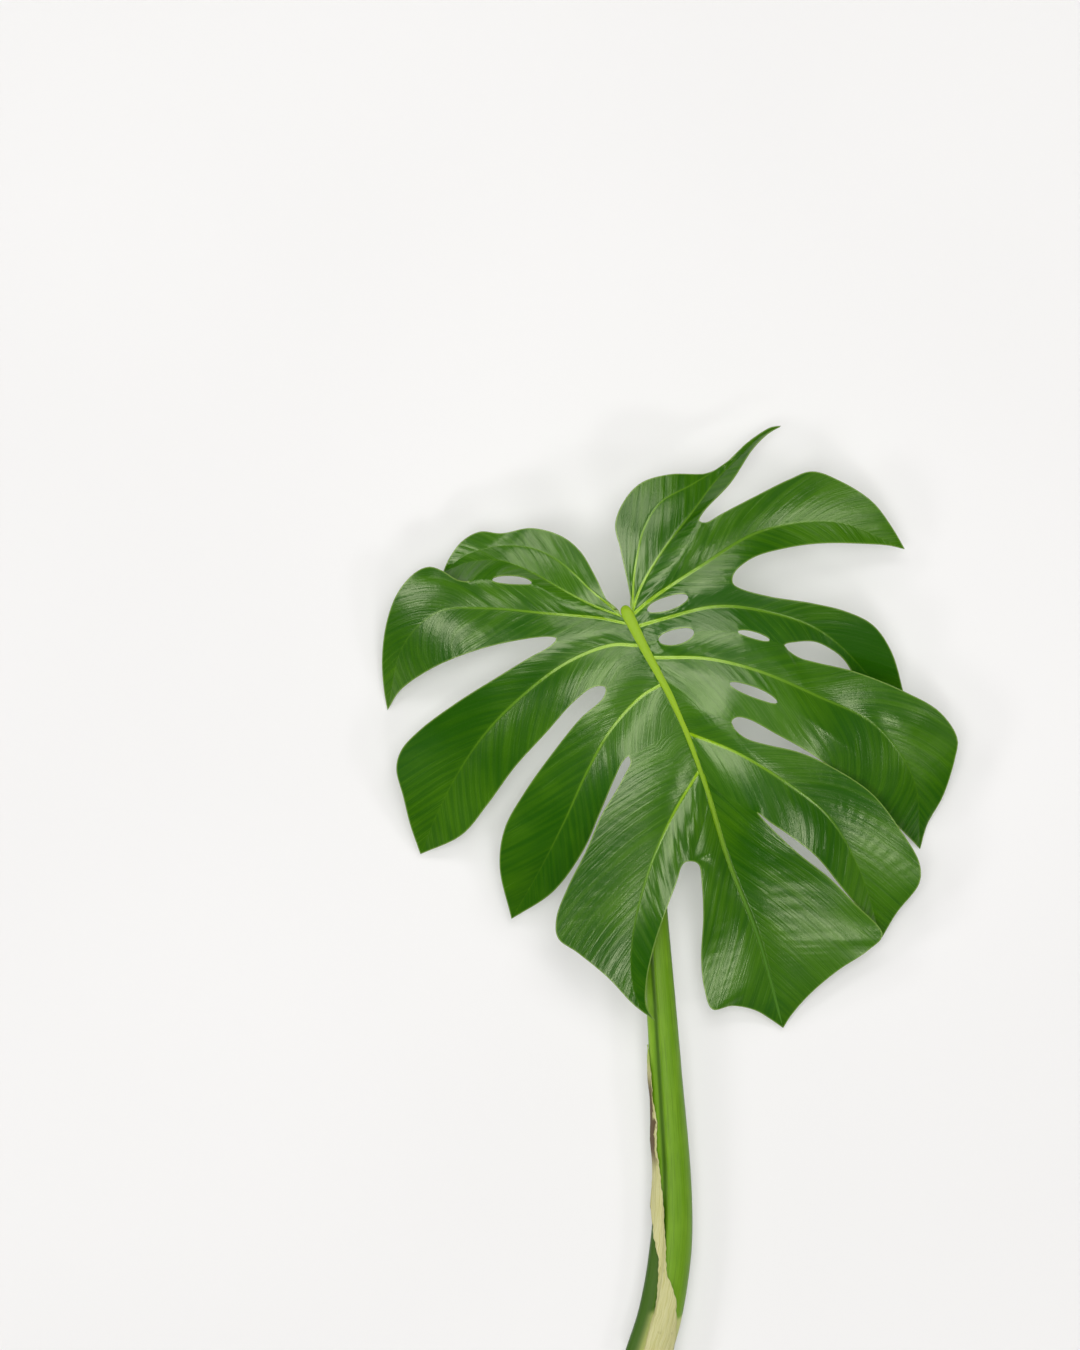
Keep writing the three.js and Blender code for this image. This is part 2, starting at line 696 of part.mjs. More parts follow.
function sheathGeometry() {
  const rings = [];
  for (let ring = 0; ring <= SHEATH_RINGS; ring += 1) {
    const share = ring / SHEATH_RINGS;
    const along = share * SHEATH_HEAD;
    const inside = [];
    const outside = [];
    for (let column = 0; column <= SHEATH_COLUMNS; column += 1) {
      const degrees = lerp(sheathEdge('first', share), sheathEdge('last', share), column / SHEATH_COLUMNS);
      inside.push(stalkPoint(along, degrees, SHEATH_GAP));
      outside.push(stalkPoint(along, degrees, SHEATH_GAP + SHEATH_THICKNESS));
    }
    rings.push([...outside, ...inside.reverse()]);
  }
  return loft(rings);
}

// ---- Assembly ------------------------------------------------------------------------------------

const FINISHES = {
  blade: { color: 0x2f6b16, roughness: 0.38, metalness: 0 },
  stalk: { color: 0x6f9c2c, roughness: 0.45, metalness: 0 },
  sheath: { color: 0xc9c39a, roughness: 0.8, metalness: 0 },
};

function piece(name, geometry, finish) {
  const material = new THREE.MeshStandardMaterial(finish);
  const mesh = new THREE.Mesh(geometry, material);
  mesh.name = name;
  return mesh;
}

const leaf = new THREE.Group();
leaf.add(piece('leaf_blade', bladeGeometry(), FINISHES.blade));
leaf.add(piece('petiole', stalkGeometry(), FINISHES.stalk));
leaf.add(piece('petiole_sheath', sheathGeometry(), FINISHES.sheath));

// The origin is at the middle of the leaf's box in plan, on the surface that it lies on.
const box = new THREE.Box3().setFromObject(leaf);
const middle = box.getCenter(new THREE.Vector3());
leaf.position.set(-middle.x, -middle.y, -box.min.z);

export default leaf;
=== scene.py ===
"""A picked leaf of a Swiss cheese plant, lying on its back on a pale floor.

The blade, its stalk and the dried sheath that clasps the stalk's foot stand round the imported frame.
Plans and sizes are in millimetres from the base of the blade, +Y from the cut end of the stalk to the
notch. They become metres in the row frame when a mesh is made.
"""

import logging
import math
from dataclasses import dataclass, field
from enum import Enum
from typing import Any

import bpy
import numpy as np
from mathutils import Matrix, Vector


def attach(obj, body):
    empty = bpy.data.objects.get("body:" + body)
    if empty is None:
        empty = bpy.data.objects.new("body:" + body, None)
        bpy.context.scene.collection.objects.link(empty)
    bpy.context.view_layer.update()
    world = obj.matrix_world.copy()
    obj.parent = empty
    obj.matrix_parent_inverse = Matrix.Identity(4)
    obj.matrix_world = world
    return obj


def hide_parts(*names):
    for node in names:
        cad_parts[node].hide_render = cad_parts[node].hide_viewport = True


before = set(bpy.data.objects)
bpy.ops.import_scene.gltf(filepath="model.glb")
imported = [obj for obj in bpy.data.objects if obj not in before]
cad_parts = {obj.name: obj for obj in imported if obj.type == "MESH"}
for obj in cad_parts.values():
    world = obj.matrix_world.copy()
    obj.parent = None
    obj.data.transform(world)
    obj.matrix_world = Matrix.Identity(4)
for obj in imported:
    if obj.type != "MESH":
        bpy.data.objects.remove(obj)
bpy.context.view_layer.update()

log = logging.getLogger("leaf")

Plan = tuple[tuple[float, float], ...]
Range = tuple[float, float]
Colour = tuple[float, float, float]
Socket = bpy.types.NodeSocket

MM = 0.001  # metres in a millimetre
TINY = 1e-9  # keeps a division from failing

# ---- Small helpers --------------------------------------------------------------------------------


def lerp(start: Any, end: Any, share: Any) -> Any:
    """Returns the value at a share of the way from start to end."""
    return start + (end - start) * share


def smoothstep(value: Any, low: float, high: float) -> Any:
    """Returns 0 below low, 1 above high, and a smooth rise between them."""
    share = np.clip((np.asarray(value, float) - low) / (high - low), 0.0, 1.0)
    return share * share * (3.0 - 2.0 * share)


def passed_distances(points: np.ndarray) -> np.ndarray:
    """Returns how far along a line each of its points is."""
    steps = np.linalg.norm(np.diff(points, axis=0), axis=1)
    return np.concatenate([[0.0], np.cumsum(steps)])


def passed_shares(points: np.ndarray) -> np.ndarray:
    """Returns how far along a line each of its points is, as a share of its length."""
    passed = passed_distances(points)
    return passed / passed[-1]


def nearest_on_line(points: np.ndarray, line: np.ndarray) -> tuple[np.ndarray, np.ndarray]:
    """Measures points in plan against a line.

    Args:
        points: Places in plan, of shape (..., 2).
        line: The line's points, of shape (n, 2).

    Returns:
        The distance of each place to the line, and how far along the line its nearest point is.
    """
    start, step = line[:-1], np.diff(line, axis=0)
    length = np.maximum(np.linalg.norm(step, axis=1), TINY)
    arm = points[..., None, :] - start
    share = np.clip((arm * step).sum(-1) / length**2, 0.0, 1.0)
    gap = np.linalg.norm(arm - share[..., None] * step, axis=-1)
    nearest = gap.argmin(-1)
    along = passed_distances(line)[:-1] + share * length
    pick = nearest[..., None]
    return np.take_along_axis(gap, pick, -1)[..., 0], np.take_along_axis(along, pick, -1)[..., 0]


class SmoothCurve:
    """A centripetal Catmull-Rom curve through points, measured along its length."""

    FINE = 40  # fine steps between one point and the next
    LEAST_STEP = 1e-6  # points closer than this count as this far apart
    NEARBY = 1e-3  # share of the length over which the direction is measured

    def __init__(self, points: Any) -> None:
        """Samples the curve.

        Args:
            points: The places that the curve runs through, in plan or in space.
        """
        knots = np.asarray(points, float)
        padded = np.vstack([2 * knots[0] - knots[1], knots, 2 * knots[-1] - knots[-2]])
        pieces = [self._stretch(*padded[i : i + 4]) for i in range(len(knots) - 1)]
        self.samples = np.vstack([*pieces, knots[-1:]])
        self.passed = passed_distances(self.samples)
        self.knots_passed = self.passed[:: self.FINE]
        self.length = float(self.passed[-1])

    def _stretch(
        self, before: np.ndarray, start: np.ndarray, end: np.ndarray, after: np.ndarray
    ) -> np.ndarray:
        """Samples the curve between two of its points.

        Args:
            before: The point before the start, which bends the curve.
            start: The point that the stretch starts at.
            end: The point that it runs to.
            after: The point after the end, which bends the curve.

        Returns:
            Fine points from the start up to the end, which is left out.
        """
        pairs = ((before, start), (start, end), (end, after))
        first, middle, last = (max(np.linalg.norm(b - a), self.LEAST_STEP) ** 0.5 for a, b in pairs)
        leaving = (start - before) / first - (end - before) / (first + middle) + (end - start) / middle
        arriving = (end - start) / middle - (after - start) / (middle + last) + (after - end) / last
        t = (np.arange(self.FINE) / self.FINE)[:, None]
        return (
            (2 * t**3 - 3 * t**2 + 1) * start
            + (t**3 - 2 * t**2 + t) * leaving * middle
            + (3 * t**2 - 2 * t**3) * end
            + (t**3 - t**2) * arriving * middle
        )

    def at(self, distance: Any) -> np.ndarray:
        """Returns the places at distances along the curve."""
        columns = [np.interp(distance, self.passed, column) for column in self.samples.T]
        return np.stack(columns, axis=-1)

    def direction(self, distance: Any) -> np.ndarray:
        """Finds which way the curve runs.

        Args:
            distance: Distances along the curve.

        Returns:
            The curve's unit directions there.
        """
        distance = np.asarray(distance, float)
        reach = self.length * self.NEARBY
        ahead = self.at(np.minimum(distance + reach, self.length))
        step = ahead - self.at(np.maximum(distance - reach, 0.0))
        return step / np.maximum(np.linalg.norm(step, axis=-1, keepdims=True), TINY)

    def sideways(self, distance: Any, reach: Any) -> np.ndarray:
        """Finds places beside the curve, in plan.

        Args:
            distance: Distances along the curve.
            reach: How far to its left each place is.

        Returns:
            The places.
        """
        along = self.direction(distance)
        left = np.stack([-along[..., 1], along[..., 0]], axis=-1)
        return self.at(distance) + left * np.asarray(reach, float)[..., None]


# ---- Plan of the blade ----------------------------------------------------------------------------


@dataclass(frozen=True)
class Hole:
    """A long lens-shaped hole on a line: how far along its centre is, its length and its width."""

    centre: float
    length: float
    width: float


@dataclass(frozen=True)
class InnerLine:
    """A line inside a lobe that runs from the midrib to the tip, with holes or as a lesser vein."""

    leaves: float
    through: Plan
    holes: tuple[Hole, ...] = ()
    vein_width: float = 0.0


@dataclass(frozen=True)
class Lobe:
    """A lobe of the blade and its vein, which leaves the midrib and ends at the tip.

    height is the upper face at the tip. near and far say how much higher than the vein the free edges
    on the base's and the apex's side lie. lag is over 1 where the vein keeps behind the edges at first.
    tone runs from 0 for the deepest green to 1 for the freshest.
    """

    leaves: float
    vein: Plan
    tip: tuple[float, float]
    height: float
    near: float
    far: float
    lag: float = 1.0
    vein_width: float = 1.2
    tone: float = 0.3
    before: InnerLine | None = None
    inner: InnerLine | None = None


@dataclass(frozen=True)
class Cleft:
    """The gap between two lobes: its seam runs from the midrib to the sinus, then the free edges part."""

    leaves: float
    seam: Plan
    sinus: tuple[float, float]
    steps: int
    near: Plan
    far: Plan
    holes: tuple[Hole, ...] = ()


@dataclass(frozen=True)
class Side:
    """The half of the blade on one hand of the midrib, -1 for the left and 1 for the right."""

    hand: int
    margin: Plan
    lobes: tuple[Lobe, ...]
    clefts: tuple[Cleft, ...]


MIDRIB: Plan = ((-1, 2), (10, -20), (29, -56), (45, -98), (60, -146), (78, -192), (94, -248))

RIGHT_SIDE = Side(
    hand=1,
    margin=((0, 17), (-5, 40), (-8, 55), (-2, 70), (8, 80), (25, 85), (47, 86), (58, 92), (72, 105),
            (86, 114)),
    lobes=(
        Lobe(
            leaves=0, vein=((7, 17), (20, 39), (37, 61), (51, 80), (66, 96), (80, 109)), tip=(92, 115),
            height=22, near=-2, far=1, lag=1.3, vein_width=0.9, tone=0.35,
            before=InnerLine(
                leaves=0, through=((3, 22), (5, 36), (9, 52), (19, 68), (38, 79), (60, 93), (78, 108)),
                vein_width=0.7,
            ),
        ),
        Lobe(
            leaves=2, vein=((13, 10), (43, 30), (79, 51), (124, 57)), tip=(167, 41),
            height=14, near=0, far=-3, vein_width=1.4, tone=0.35,
        ),
        Lobe(
            leaves=10, vein=((22, -1), (52, 6), (82, 3), (116, -9), (148, -39)), tip=(164, -62),
            height=4, near=-3, far=-3, vein_width=1.4, tone=0.1,
        ),
        Lobe(
            leaves=31, vein=((46, -25), (76, -32), (112, -47), (148, -65), (172, -98)), tip=(177, -140),
            height=0, near=2, far=-2, vein_width=1.3, tone=0.4,
            inner=InnerLine(
                leaves=43,
                through=((37, -36), (54, -38), (69, -43), (84, -49), (112, -65), (142, -88), (165, -117)),
                holes=(Hole(55, 31, 6),),
            ),
        ),
        Lobe(
            leaves=81, vein=((64, -81), (94, -99), (120, -120), (139, -152)), tip=(153, -194),
            height=9, near=2, far=1, vein_width=1.1, tone=0.3,
        ),
    ),
    clefts=(
        Cleft(
            leaves=1, seam=((16, 16), (31, 36)), sinus=(42, 57), steps=8,
            near=((45, 63), (61, 80), (75, 101), (84, 110)),
            far=((46, 56), (55, 61), (76, 72), (96, 82), (110, 87), (128, 81), (147, 69), (159, 54)),
        ),
        Cleft(
            leaves=6, seam=((12, 4), (24, 8), (36, 12), (48, 15)), sinus=(62, 20), steps=7,
            holes=(Hole(21, 26, 8),),
            near=((63, 26), (74, 35), (94, 41), (115, 44), (142, 44), (158, 43)),
            far=((66, 17), (84, 12), (110, 8), (131, 3), (147, -5), (158, -20), (165, -41), (167, -52)),
        ),
        Cleft(
            leaves=20, seam=((18, -14), (29, -12), (40, -9), (65, -9), (84, -14)), sinus=(93, -17), steps=11,
            holes=(Hole(18, 22, 9), Hole(65, 20, 4)),
            near=((101, -15), (112, -15), (121, -19), (129, -25), (142, -44), (153, -55)),
            far=((101, -24), (111, -27), (136, -33), (166, -45), (187, -57), (198, -73), (197, -84),
                 (190, -108), (181, -125)),
        ),
        Cleft(
            leaves=55, seam=((37, -53), (49, -58)), sinus=(61, -63), steps=5,
            near=((64, -60), (71, -61), (88, -70), (111, -83), (136, -102), (167, -130)),
            far=((65, -69), (71, -73), (81, -76), (102, -81), (122, -90), (146, -106), (164, -129),
                 (175, -148), (175, -160), (162, -178)),
        ),
        Cleft(
            leaves=106, seam=((52, -102), (64, -110)), sinus=(77, -117), steps=5,
            near=((85, -123), (94, -129), (112, -143), (128, -162), (143, -180)),
            far=((84, -125), (101, -141), (120, -156), (135, -171), (153, -191), (145, -200), (126, -213),
                 (110, -227), (99, -240)),
        ),
    ),
)

LEFT_SIDE = Side(
    hand=-1,
    margin=((-12, 8), (-20, 24), (-29, 39), (-40, 48), (-58, 53), (-76, 50), (-89, 51), (-100, 45),
            (-108, 34)),
    lobes=(
        Lobe(
            leaves=0, vein=((-22, 7), (-41, 17), (-53, 24), (-65, 30), (-78, 34), (-95, 33)), tip=(-111, 27),
            height=26, near=-2, far=0, vein_width=0.7, tone=0.3,
            before=InnerLine(
                leaves=0,
                through=((-12, 7), (-23, 16), (-32, 25), (-43, 34), (-58, 41), (-80, 42), (-99, 36)),
                vein_width=0.6,
            ),
        ),
        Lobe(
            leaves=5, vein=((-17, -1), (-50, 2), (-84, 5), (-114, 3), (-135, -17)), tip=(-145, -56),
            height=0, near=-2, far=-3, vein_width=1.0, tone=0.25,
        ),
        Lobe(
            leaves=20, vein=((-10, -17), (-36, -27), (-62, -46), (-85, -69), (-104, -97), (-119, -128)),
            tip=(-125, -143), height=4, near=-2, far=-2, vein_width=1.3, tone=0.25,
        ),
        Lobe(
            leaves=47, vein=((7, -48), (-11, -68), (-25, -93), (-38, -122), (-53, -152)), tip=(-70, -182),
            height=8, near=-3, far=-3, vein_width=1.1, tone=0.3,
        ),
        Lobe(
            leaves=104, vein=((27, -117), (13, -149), (3, -188), (2, -215), (7, -232)), tip=(16, -242),
            height=37, near=-3, far=-1, lag=1.35, vein_width=1.0, tone=0.35,
        ),
    ),
    clefts=(
        Cleft(
            leaves=2, seam=((-20, 2), (-40, 9), (-58, 20), (-72, 22), (-84, 22)), sinus=(-95, 21), steps=12,
            holes=(Hole(71, 24, 5),),
            near=((-101, 21), (-106, 23)),
            far=((-102, 22), (-112, 28), (-119, 30), (-127, 27), (-138, 15), (-145, -3), (-148, -25),
                 (-147, -44)),
        ),
        Cleft(
            leaves=12, seam=((-14, -9), (-29, -12)), sinus=(-43, -13), steps=5,
            near=((-48, -12), (-71, -15), (-94, -21), (-118, -31), (-137, -44)),
            far=((-46, -17), (-60, -25), (-78, -36), (-102, -51), (-125, -68), (-136, -80), (-139, -91),
                 (-135, -108), (-131, -125)),
        ),
        Cleft(
            leaves=34, seam=((4, -32), (-5, -37)), sinus=(-14, -42), steps=4,
            near=((-21, -42), (-33, -51), (-49, -69), (-68, -90), (-84, -112), (-100, -131)),
            far=((-15, -48), (-29, -61), (-45, -81), (-62, -105), (-74, -127), (-77, -150)),
        ),
        Cleft(
            leaves=75, seam=((20, -72), (10, -78)), sinus=(0, -83), steps=5,
            near=((-3.4, -86.2), (-9.5, -99), (-17, -117), (-27, -140), (-45, -165)),
            far=((1.2, -87), (-2, -93.5), (-7, -103), (-16, -118), (-25, -139), (-36, -161), (-43, -180),
                 (-42, -192), (-30, -201), (-12, -216), (3, -232)),
        ),
        Cleft(
            leaves=122, seam=((45, -122), (41, -135)), sinus=(38, -146), steps=5,
            near=((33, -147), (28, -160), (22, -176), (15, -198), (11, -218), (11, -233)),
            far=((42, -148), (44, -160), (45, -180), (44, -205), (46, -223), (51, -236), (63, -234),
                 (77, -237), (87, -243)),
        ),
    ),
)


def leaf_origin() -> np.ndarray:
    """Finds the base of the blade in the row frame, in metres.

    The tip of the first lobe on the right is the frame blade's furthest place along +Y, so the place of
    that corner and the tip's own plan and height give the rest.

    Returns:
        The row frame's coordinates of the plan's origin, at the plan's height zero.
    """
    horn = RIGHT_SIDE.lobes[0]
    corners = [vertex.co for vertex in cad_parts["leaf_blade"].data.vertices]
    furthest = max(corners, key=lambda corner: (round(corner.y, 6), corner.z))
    return np.array(furthest) - np.array([*horn.tip, horn.height]) * MM


ORIGIN = leaf_origin()


def to_row(points: np.ndarray) -> np.ndarray:
    """Turns places in millimetres from the base of the blade into metres in the row frame."""
    return np.asarray(points, float) * MM + ORIGIN


# ---- Nodes of a finish ----------------------------------------------------------------------------


class Nodes:
    """The node tree of one material, with short calls for the nodes that the finishes use."""

    def __init__(self, name: str) -> None:
        """Starts a material.

        Args:
            name: The material's name.
        """
        self.material = bpy.data.materials.new(name)
        self.material.use_nodes = True
        self.tree = self.material.node_tree
        self.shader = self.tree.nodes["Principled BSDF"]

    def add(self, kind: str, inputs: dict[Any, Any], **settings: Any) -> bpy.types.Node:
        """Adds a node.

        Args:
            kind: The node's type.
            inputs: A value or a socket for each named or numbered input.
            **settings: The node's own properties.

        Returns:
            The new node.
        """
        node = self.tree.nodes.new(kind)
        for key, value in settings.items():
            setattr(node, key, value)
        for key, value in inputs.items():
            self.feed(node.inputs[key], value)
        return node

    def feed(self, target: Socket, value: Any) -> None:
        """Links a socket to an input, or sets the input to a plain value or colour.

        Args:
            target: The input.
            value: A socket, a value or a colour.
        """
        if isinstance(value, Socket):
            self.tree.links.new(value, target)
        elif isinstance(value, tuple) and len(value) == 3 and target.type == "RGBA":
            target.default_value = (*value, 1.0)
        else:
            target.default_value = value

    def parts(self, name: str) -> tuple[Socket, Socket, Socket]:
        """Reads a value that the mesh's corners carry.

        Args:
            name: The value's name.

        Returns:
            Its three numbers.
        """
        source = self.add("ShaderNodeAttribute", {}, attribute_name=name)
        split = self.add("ShaderNodeSeparateXYZ", {0: source.outputs["Vector"]})
        return split.outputs[0], split.outputs[1], split.outputs[2]

    def math(self, operation: str, a: Any, b: Any = 0.0) -> Socket:
        """Returns the result of a sum on two values."""
        return self.add("ShaderNodeMath", {0: a, 1: b}, operation=operation).outputs[0]

    def rise(self, value: Any, low: float, high: float, start: float = 0.0, end: float = 1.0) -> Socket:
        """Returns a smooth change from start to end as value goes from low to high."""
        inputs = {"Value": value, "From Min": low, "From Max": high, "To Min": start, "To Max": end}
        return self.add("ShaderNodeMapRange", inputs, interpolation_type="SMOOTHSTEP").outputs["Result"]

    def mix(self, share: Any, a: Any, b: Any) -> Socket:
        """Mixes two colours.

        Args:
            share: How much of the second there is.
            a: The first colour.
            b: The second colour.

        Returns:
            The mixed colour.
        """
        node = self.add("ShaderNodeMix", {}, data_type="RGBA")
        for index, value in ((0, share), (6, a), (7, b)):
            self.feed(node.inputs[index], value)
        return node.outputs[2]

    def vector(self, x: Any, y: Any, z: Any) -> Socket:
        """Returns a vector of three values."""
        return self.add("ShaderNodeCombineXYZ", {0: x, 1: y, 2: z}).outputs[0]

    def object_place(self) -> Socket:
        """Returns the place on the object, in metres."""
        return self.add("ShaderNodeTexCoord", {}).outputs["Object"]

    def noise(self, place: Socket, scale: float, detail: float = 3.0, rough: float = 0.5) -> Socket:
        """Returns a noise from 0 to 1 that is scale times finer than one unit of place."""
        inputs = {"Vector": place, "Scale": scale, "Detail": detail, "Roughness": rough}
        return self.add("ShaderNodeTexNoise", inputs).outputs[0]

    def bump(self, height: Socket, depth: float, under: Socket | None = None) -> Socket:
        """Returns normals roughened by a height.

        Args:
            height: The height, from 0 to 1.
            depth: What a height of 1 stands for, in metres.
            under: Normals of a coarser bump below this one.

        Returns:
            The normals.
        """
        node = self.add("ShaderNodeBump", {"Strength": 1.0, "Distance": depth, "Height": height})
        if under is not None:
            self.feed(node.inputs["Normal"], under)
        return node.outputs[0]

    def band(self, value: Any, rising: Range, falling: Range) -> Socket:
        """Returns 1 past where value rises through one range and before it falls through the other."""
        return self.math("MULTIPLY", self.rise(value, *rising), self.rise(value, *falling))

    def streaks(self, turn: Any, along: Any, grain: Range, layer: float, detail: float) -> Socket:
        """Draws a noise out along a stem.

        Args:
            turn: The angle round the stem, in turns.
            along: The share along the stem.
            grain: How much finer the noise is than one turn, and than the stem's length.
            layer: Which of the many such noises it is.
            detail: The noise's detail.

        Returns:
            A noise from 0 to 1.
        """
        across = self.math("MULTIPLY", turn, grain[0])
        place = self.vector(across, self.math("MULTIPLY", along, grain[1]), layer)
        return self.noise(place, 1.0, detail)

    def finish(
        self, colour: Any, roughness: Any, normal: Socket | None = None, **plain: Any
    ) -> bpy.types.Material:
        """Feeds the shader and returns the material.

        Args:
            colour: The base colour.
            roughness: The roughness.
            normal: Bumped normals.
            **plain: Values for the shader's other sockets, with _ for a space in their names.

        Returns:
            The finished material.
        """
        self.feed(self.shader.inputs["Base Color"], colour)
        self.feed(self.shader.inputs["Roughness"], roughness)
        if normal is not None:
            self.feed(self.shader.inputs["Normal"], normal)
        for key, value in plain.items():
            self.feed(self.shader.inputs[key.replace("_", " ")], value)
        return self.material


class Carried(Enum):
    """The values, three to a corner, that the meshes carry for their finishes."""

    VEIN = "vein"  # distance to the nearest vein in half-widths, share of the way along it, tone
    FLOW = "flow"  # distance along the lobe's vein and across from it, the lobe's number
    PLACE = "place"  # distance to the free edge, share of midrib, distance along the midrib
    ROUND = "round"  # share along the stalk, angle round it in turns; then painted shade on the stalk, share across on the sheath


MIDDLE: Range = (0.3, 0.7)  # the range that most of a noise lies in
NEARLY_ALL: Range = (0.1, 0.9)  # the range that a share passes from nearly none to nearly all


@dataclass(frozen=True)
class SideVeins:
    """Fine side veins, which leave a lobe's vein at a slant.

    slant is how far one runs along for each millimetre across, spacing the distance between two of them
    and reach how far one keeps its shade, in millimetres.
    """

    slant: float
    spacing: float
    reach: float
    detail: float = 2.0
    rough: float = 0.55
    lobe_step: float = 7.0  # keeps the patterns of two lobes apart

    def noise(self, nodes: Nodes) -> Socket:
        """Draws the side veins.

        Args:
            nodes: The material's nodes.

        Returns:
            A noise from 0 to 1.
        """
        along, across, lobe = nodes.parts(Carried.FLOW.value)
        stride = nodes.math("SUBTRACT", along, nodes.math("MULTIPLY", across, self.slant))
        stride = nodes.math("DIVIDE", stride, self.spacing)
        across = nodes.math("DIVIDE", across, self.reach)
        place = nodes.vector(stride, across, nodes.math("MULTIPLY", lobe, self.lobe_step))
        return nodes.noise(place, 1.0, detail=self.detail, rough=self.rough)


@dataclass(frozen=True)
class UpperFace:
    """The glossy waxy upper face of the blade."""

    deep: Colour = (0.013, 0.080, 0.0)
    fresh: Colour = (0.048, 0.152, 0.0)
    # painted sheen: bluish grey-green laid in random patches over the lamina
    painted_sheen: Colour = (0.040, 0.125, 0.030)
    vein_base: Colour = (0.22, 0.40, 0.002)
    vein_end: Colour = (0.10, 0.23, 0.01)
    midrib_base: Colour = (0.225, 0.385, 0.0)
    midrib_end: Colour = (0.045, 0.16, 0.004)
    margin: Colour = (0.20, 0.32, 0.06)
    fine: SideVeins = SideVeins(slant=1.7, spacing=1.6, reach=26.0)
    coarse: SideVeins = SideVeins(slant=1.5, spacing=5.0, reach=40.0)
    cloud_scale: float = 14.0
    cloud_tone: Range = (-0.25, 0.35)
    coarse_tone: Range = (-0.12, 0.18)
    sheen_patch_scale: float = 9.0
    sheen_patch_most: float = 0.2
    fine_most: float = 0.12
    vein_fades: Range = (0.25, 0.85)  # shares of its length between which a vein fades
    vein_left: float = 0.12  # what is left of its colour then
    vein_line: Range = (1.25, 0.7)  # half-widths from its middle between which its colour starts
    halo: Range = (3.6, 0.8)
    halo_most: float = 0.18
    margin_line: Range = (0.8, 0.3)  # millimetres from the free edge
    margin_most: float = 0.65
    midrib_darkens: Range = (60.0, 215.0)  # millimetres down the midrib
    gloss: Range = (0.21, 0.26)
    gloss_on_veins: Range = (-0.03, 0.04)
    duller_midrib: float = 0.3
    streak_depth: float = 0.00016
    fine_height: float = 0.45  # height of the fine side veins for a coarse one of 1
    skin_scale: float = 420.0
    skin_depth: float = 0.00006

    def material(self) -> bpy.types.Material:
        """Builds the finish.

        Returns:
            The material.
        """
        nodes = Nodes("blade_upper_face")
        place = nodes.object_place()
        cloud = nodes.noise(place, self.cloud_scale)
        fine, coarse = self.fine.noise(nodes), self.coarse.noise(nodes)
        on_midrib = nodes.rise(nodes.parts(Carried.PLACE.value)[1], *NEARLY_ALL)
        gloss = nodes.rise(cloud, *MIDDLE, *self.gloss)
        gloss = nodes.math("ADD", gloss, nodes.rise(fine, *MIDDLE, *self.gloss_on_veins))
        gloss = nodes.math("ADD", gloss, nodes.math("MULTIPLY", on_midrib, self.duller_midrib))
        height = nodes.math("ADD", coarse, nodes.math("MULTIPLY", fine, self.fine_height))
        relief = nodes.bump(height, self.streak_depth)
        relief = nodes.bump(nodes.noise(place, self.skin_scale), self.skin_depth, relief)
        colour = self.colour(nodes, cloud, fine, coarse, on_midrib)
        return nodes.finish(colour, gloss, relief, Specular_Tint=(0.93, 1.0, 0.66), Specular_IOR_Level=0.5)

    def colour(self, nodes: Nodes, cloud: Socket, fine: Socket, coarse: Socket, on_midrib: Socket) -> Socket:
        """Paints the lamina with random bluish patches of painted sheen, then the veins, the margin and the
        midrib over it.

        Args:
            nodes: The material's nodes.
            cloud: The noise of the broad patches.
            fine: The noise of the fine side veins.
            coarse: The noise of the coarse ones.
            on_midrib: Where the midrib is.

        Returns:
            The colour.
        """
        vein, share, tone = nodes.parts(Carried.VEIN.value)
        edge, _, down_midrib = nodes.parts(Carried.PLACE.value)
        freshness = nodes.math("ADD", tone, nodes.rise(cloud, *MIDDLE, *self.cloud_tone))
        freshness = nodes.math("ADD", freshness, nodes.rise(coarse, 0.35, 0.65, *self.coarse_tone))
        colour = nodes.mix(nodes.rise(freshness, 0.0, 1.0), self.deep, self.fresh)
        # painted sheen: bluish patches at random
        patches = nodes.noise(nodes.object_place(), self.sheen_patch_scale)
        colour = nodes.mix(nodes.rise(patches, 0.45, 0.75, 0.0, self.sheen_patch_most), colour, self.painted_sheen)
        colour = nodes.mix(nodes.rise(fine, 0.5, 0.8, 0.0, self.fine_most), colour, self.fresh)
        fading = nodes.rise(share, *self.vein_fades, 1.0, self.vein_left)
        halo = nodes.math("MULTIPLY", nodes.rise(vein, *self.halo, 0.0, self.halo_most), fading)
        colour = nodes.mix(halo, colour, self.vein_end)
        line = nodes.math("MULTIPLY", nodes.rise(vein, *self.vein_line), fading)
        vein_colour = nodes.mix(nodes.rise(share, 0.0, 0.4), self.vein_base, self.vein_end)
        colour = nodes.mix(line, colour, vein_colour)
        colour = nodes.mix(nodes.rise(edge, *self.margin_line, 0.0, self.margin_most), colour, self.margin)
        rib = nodes.mix(nodes.rise(down_midrib, *self.midrib_darkens), self.midrib_base, self.midrib_end)
        return nodes.mix(on_midrib, colour, rib)


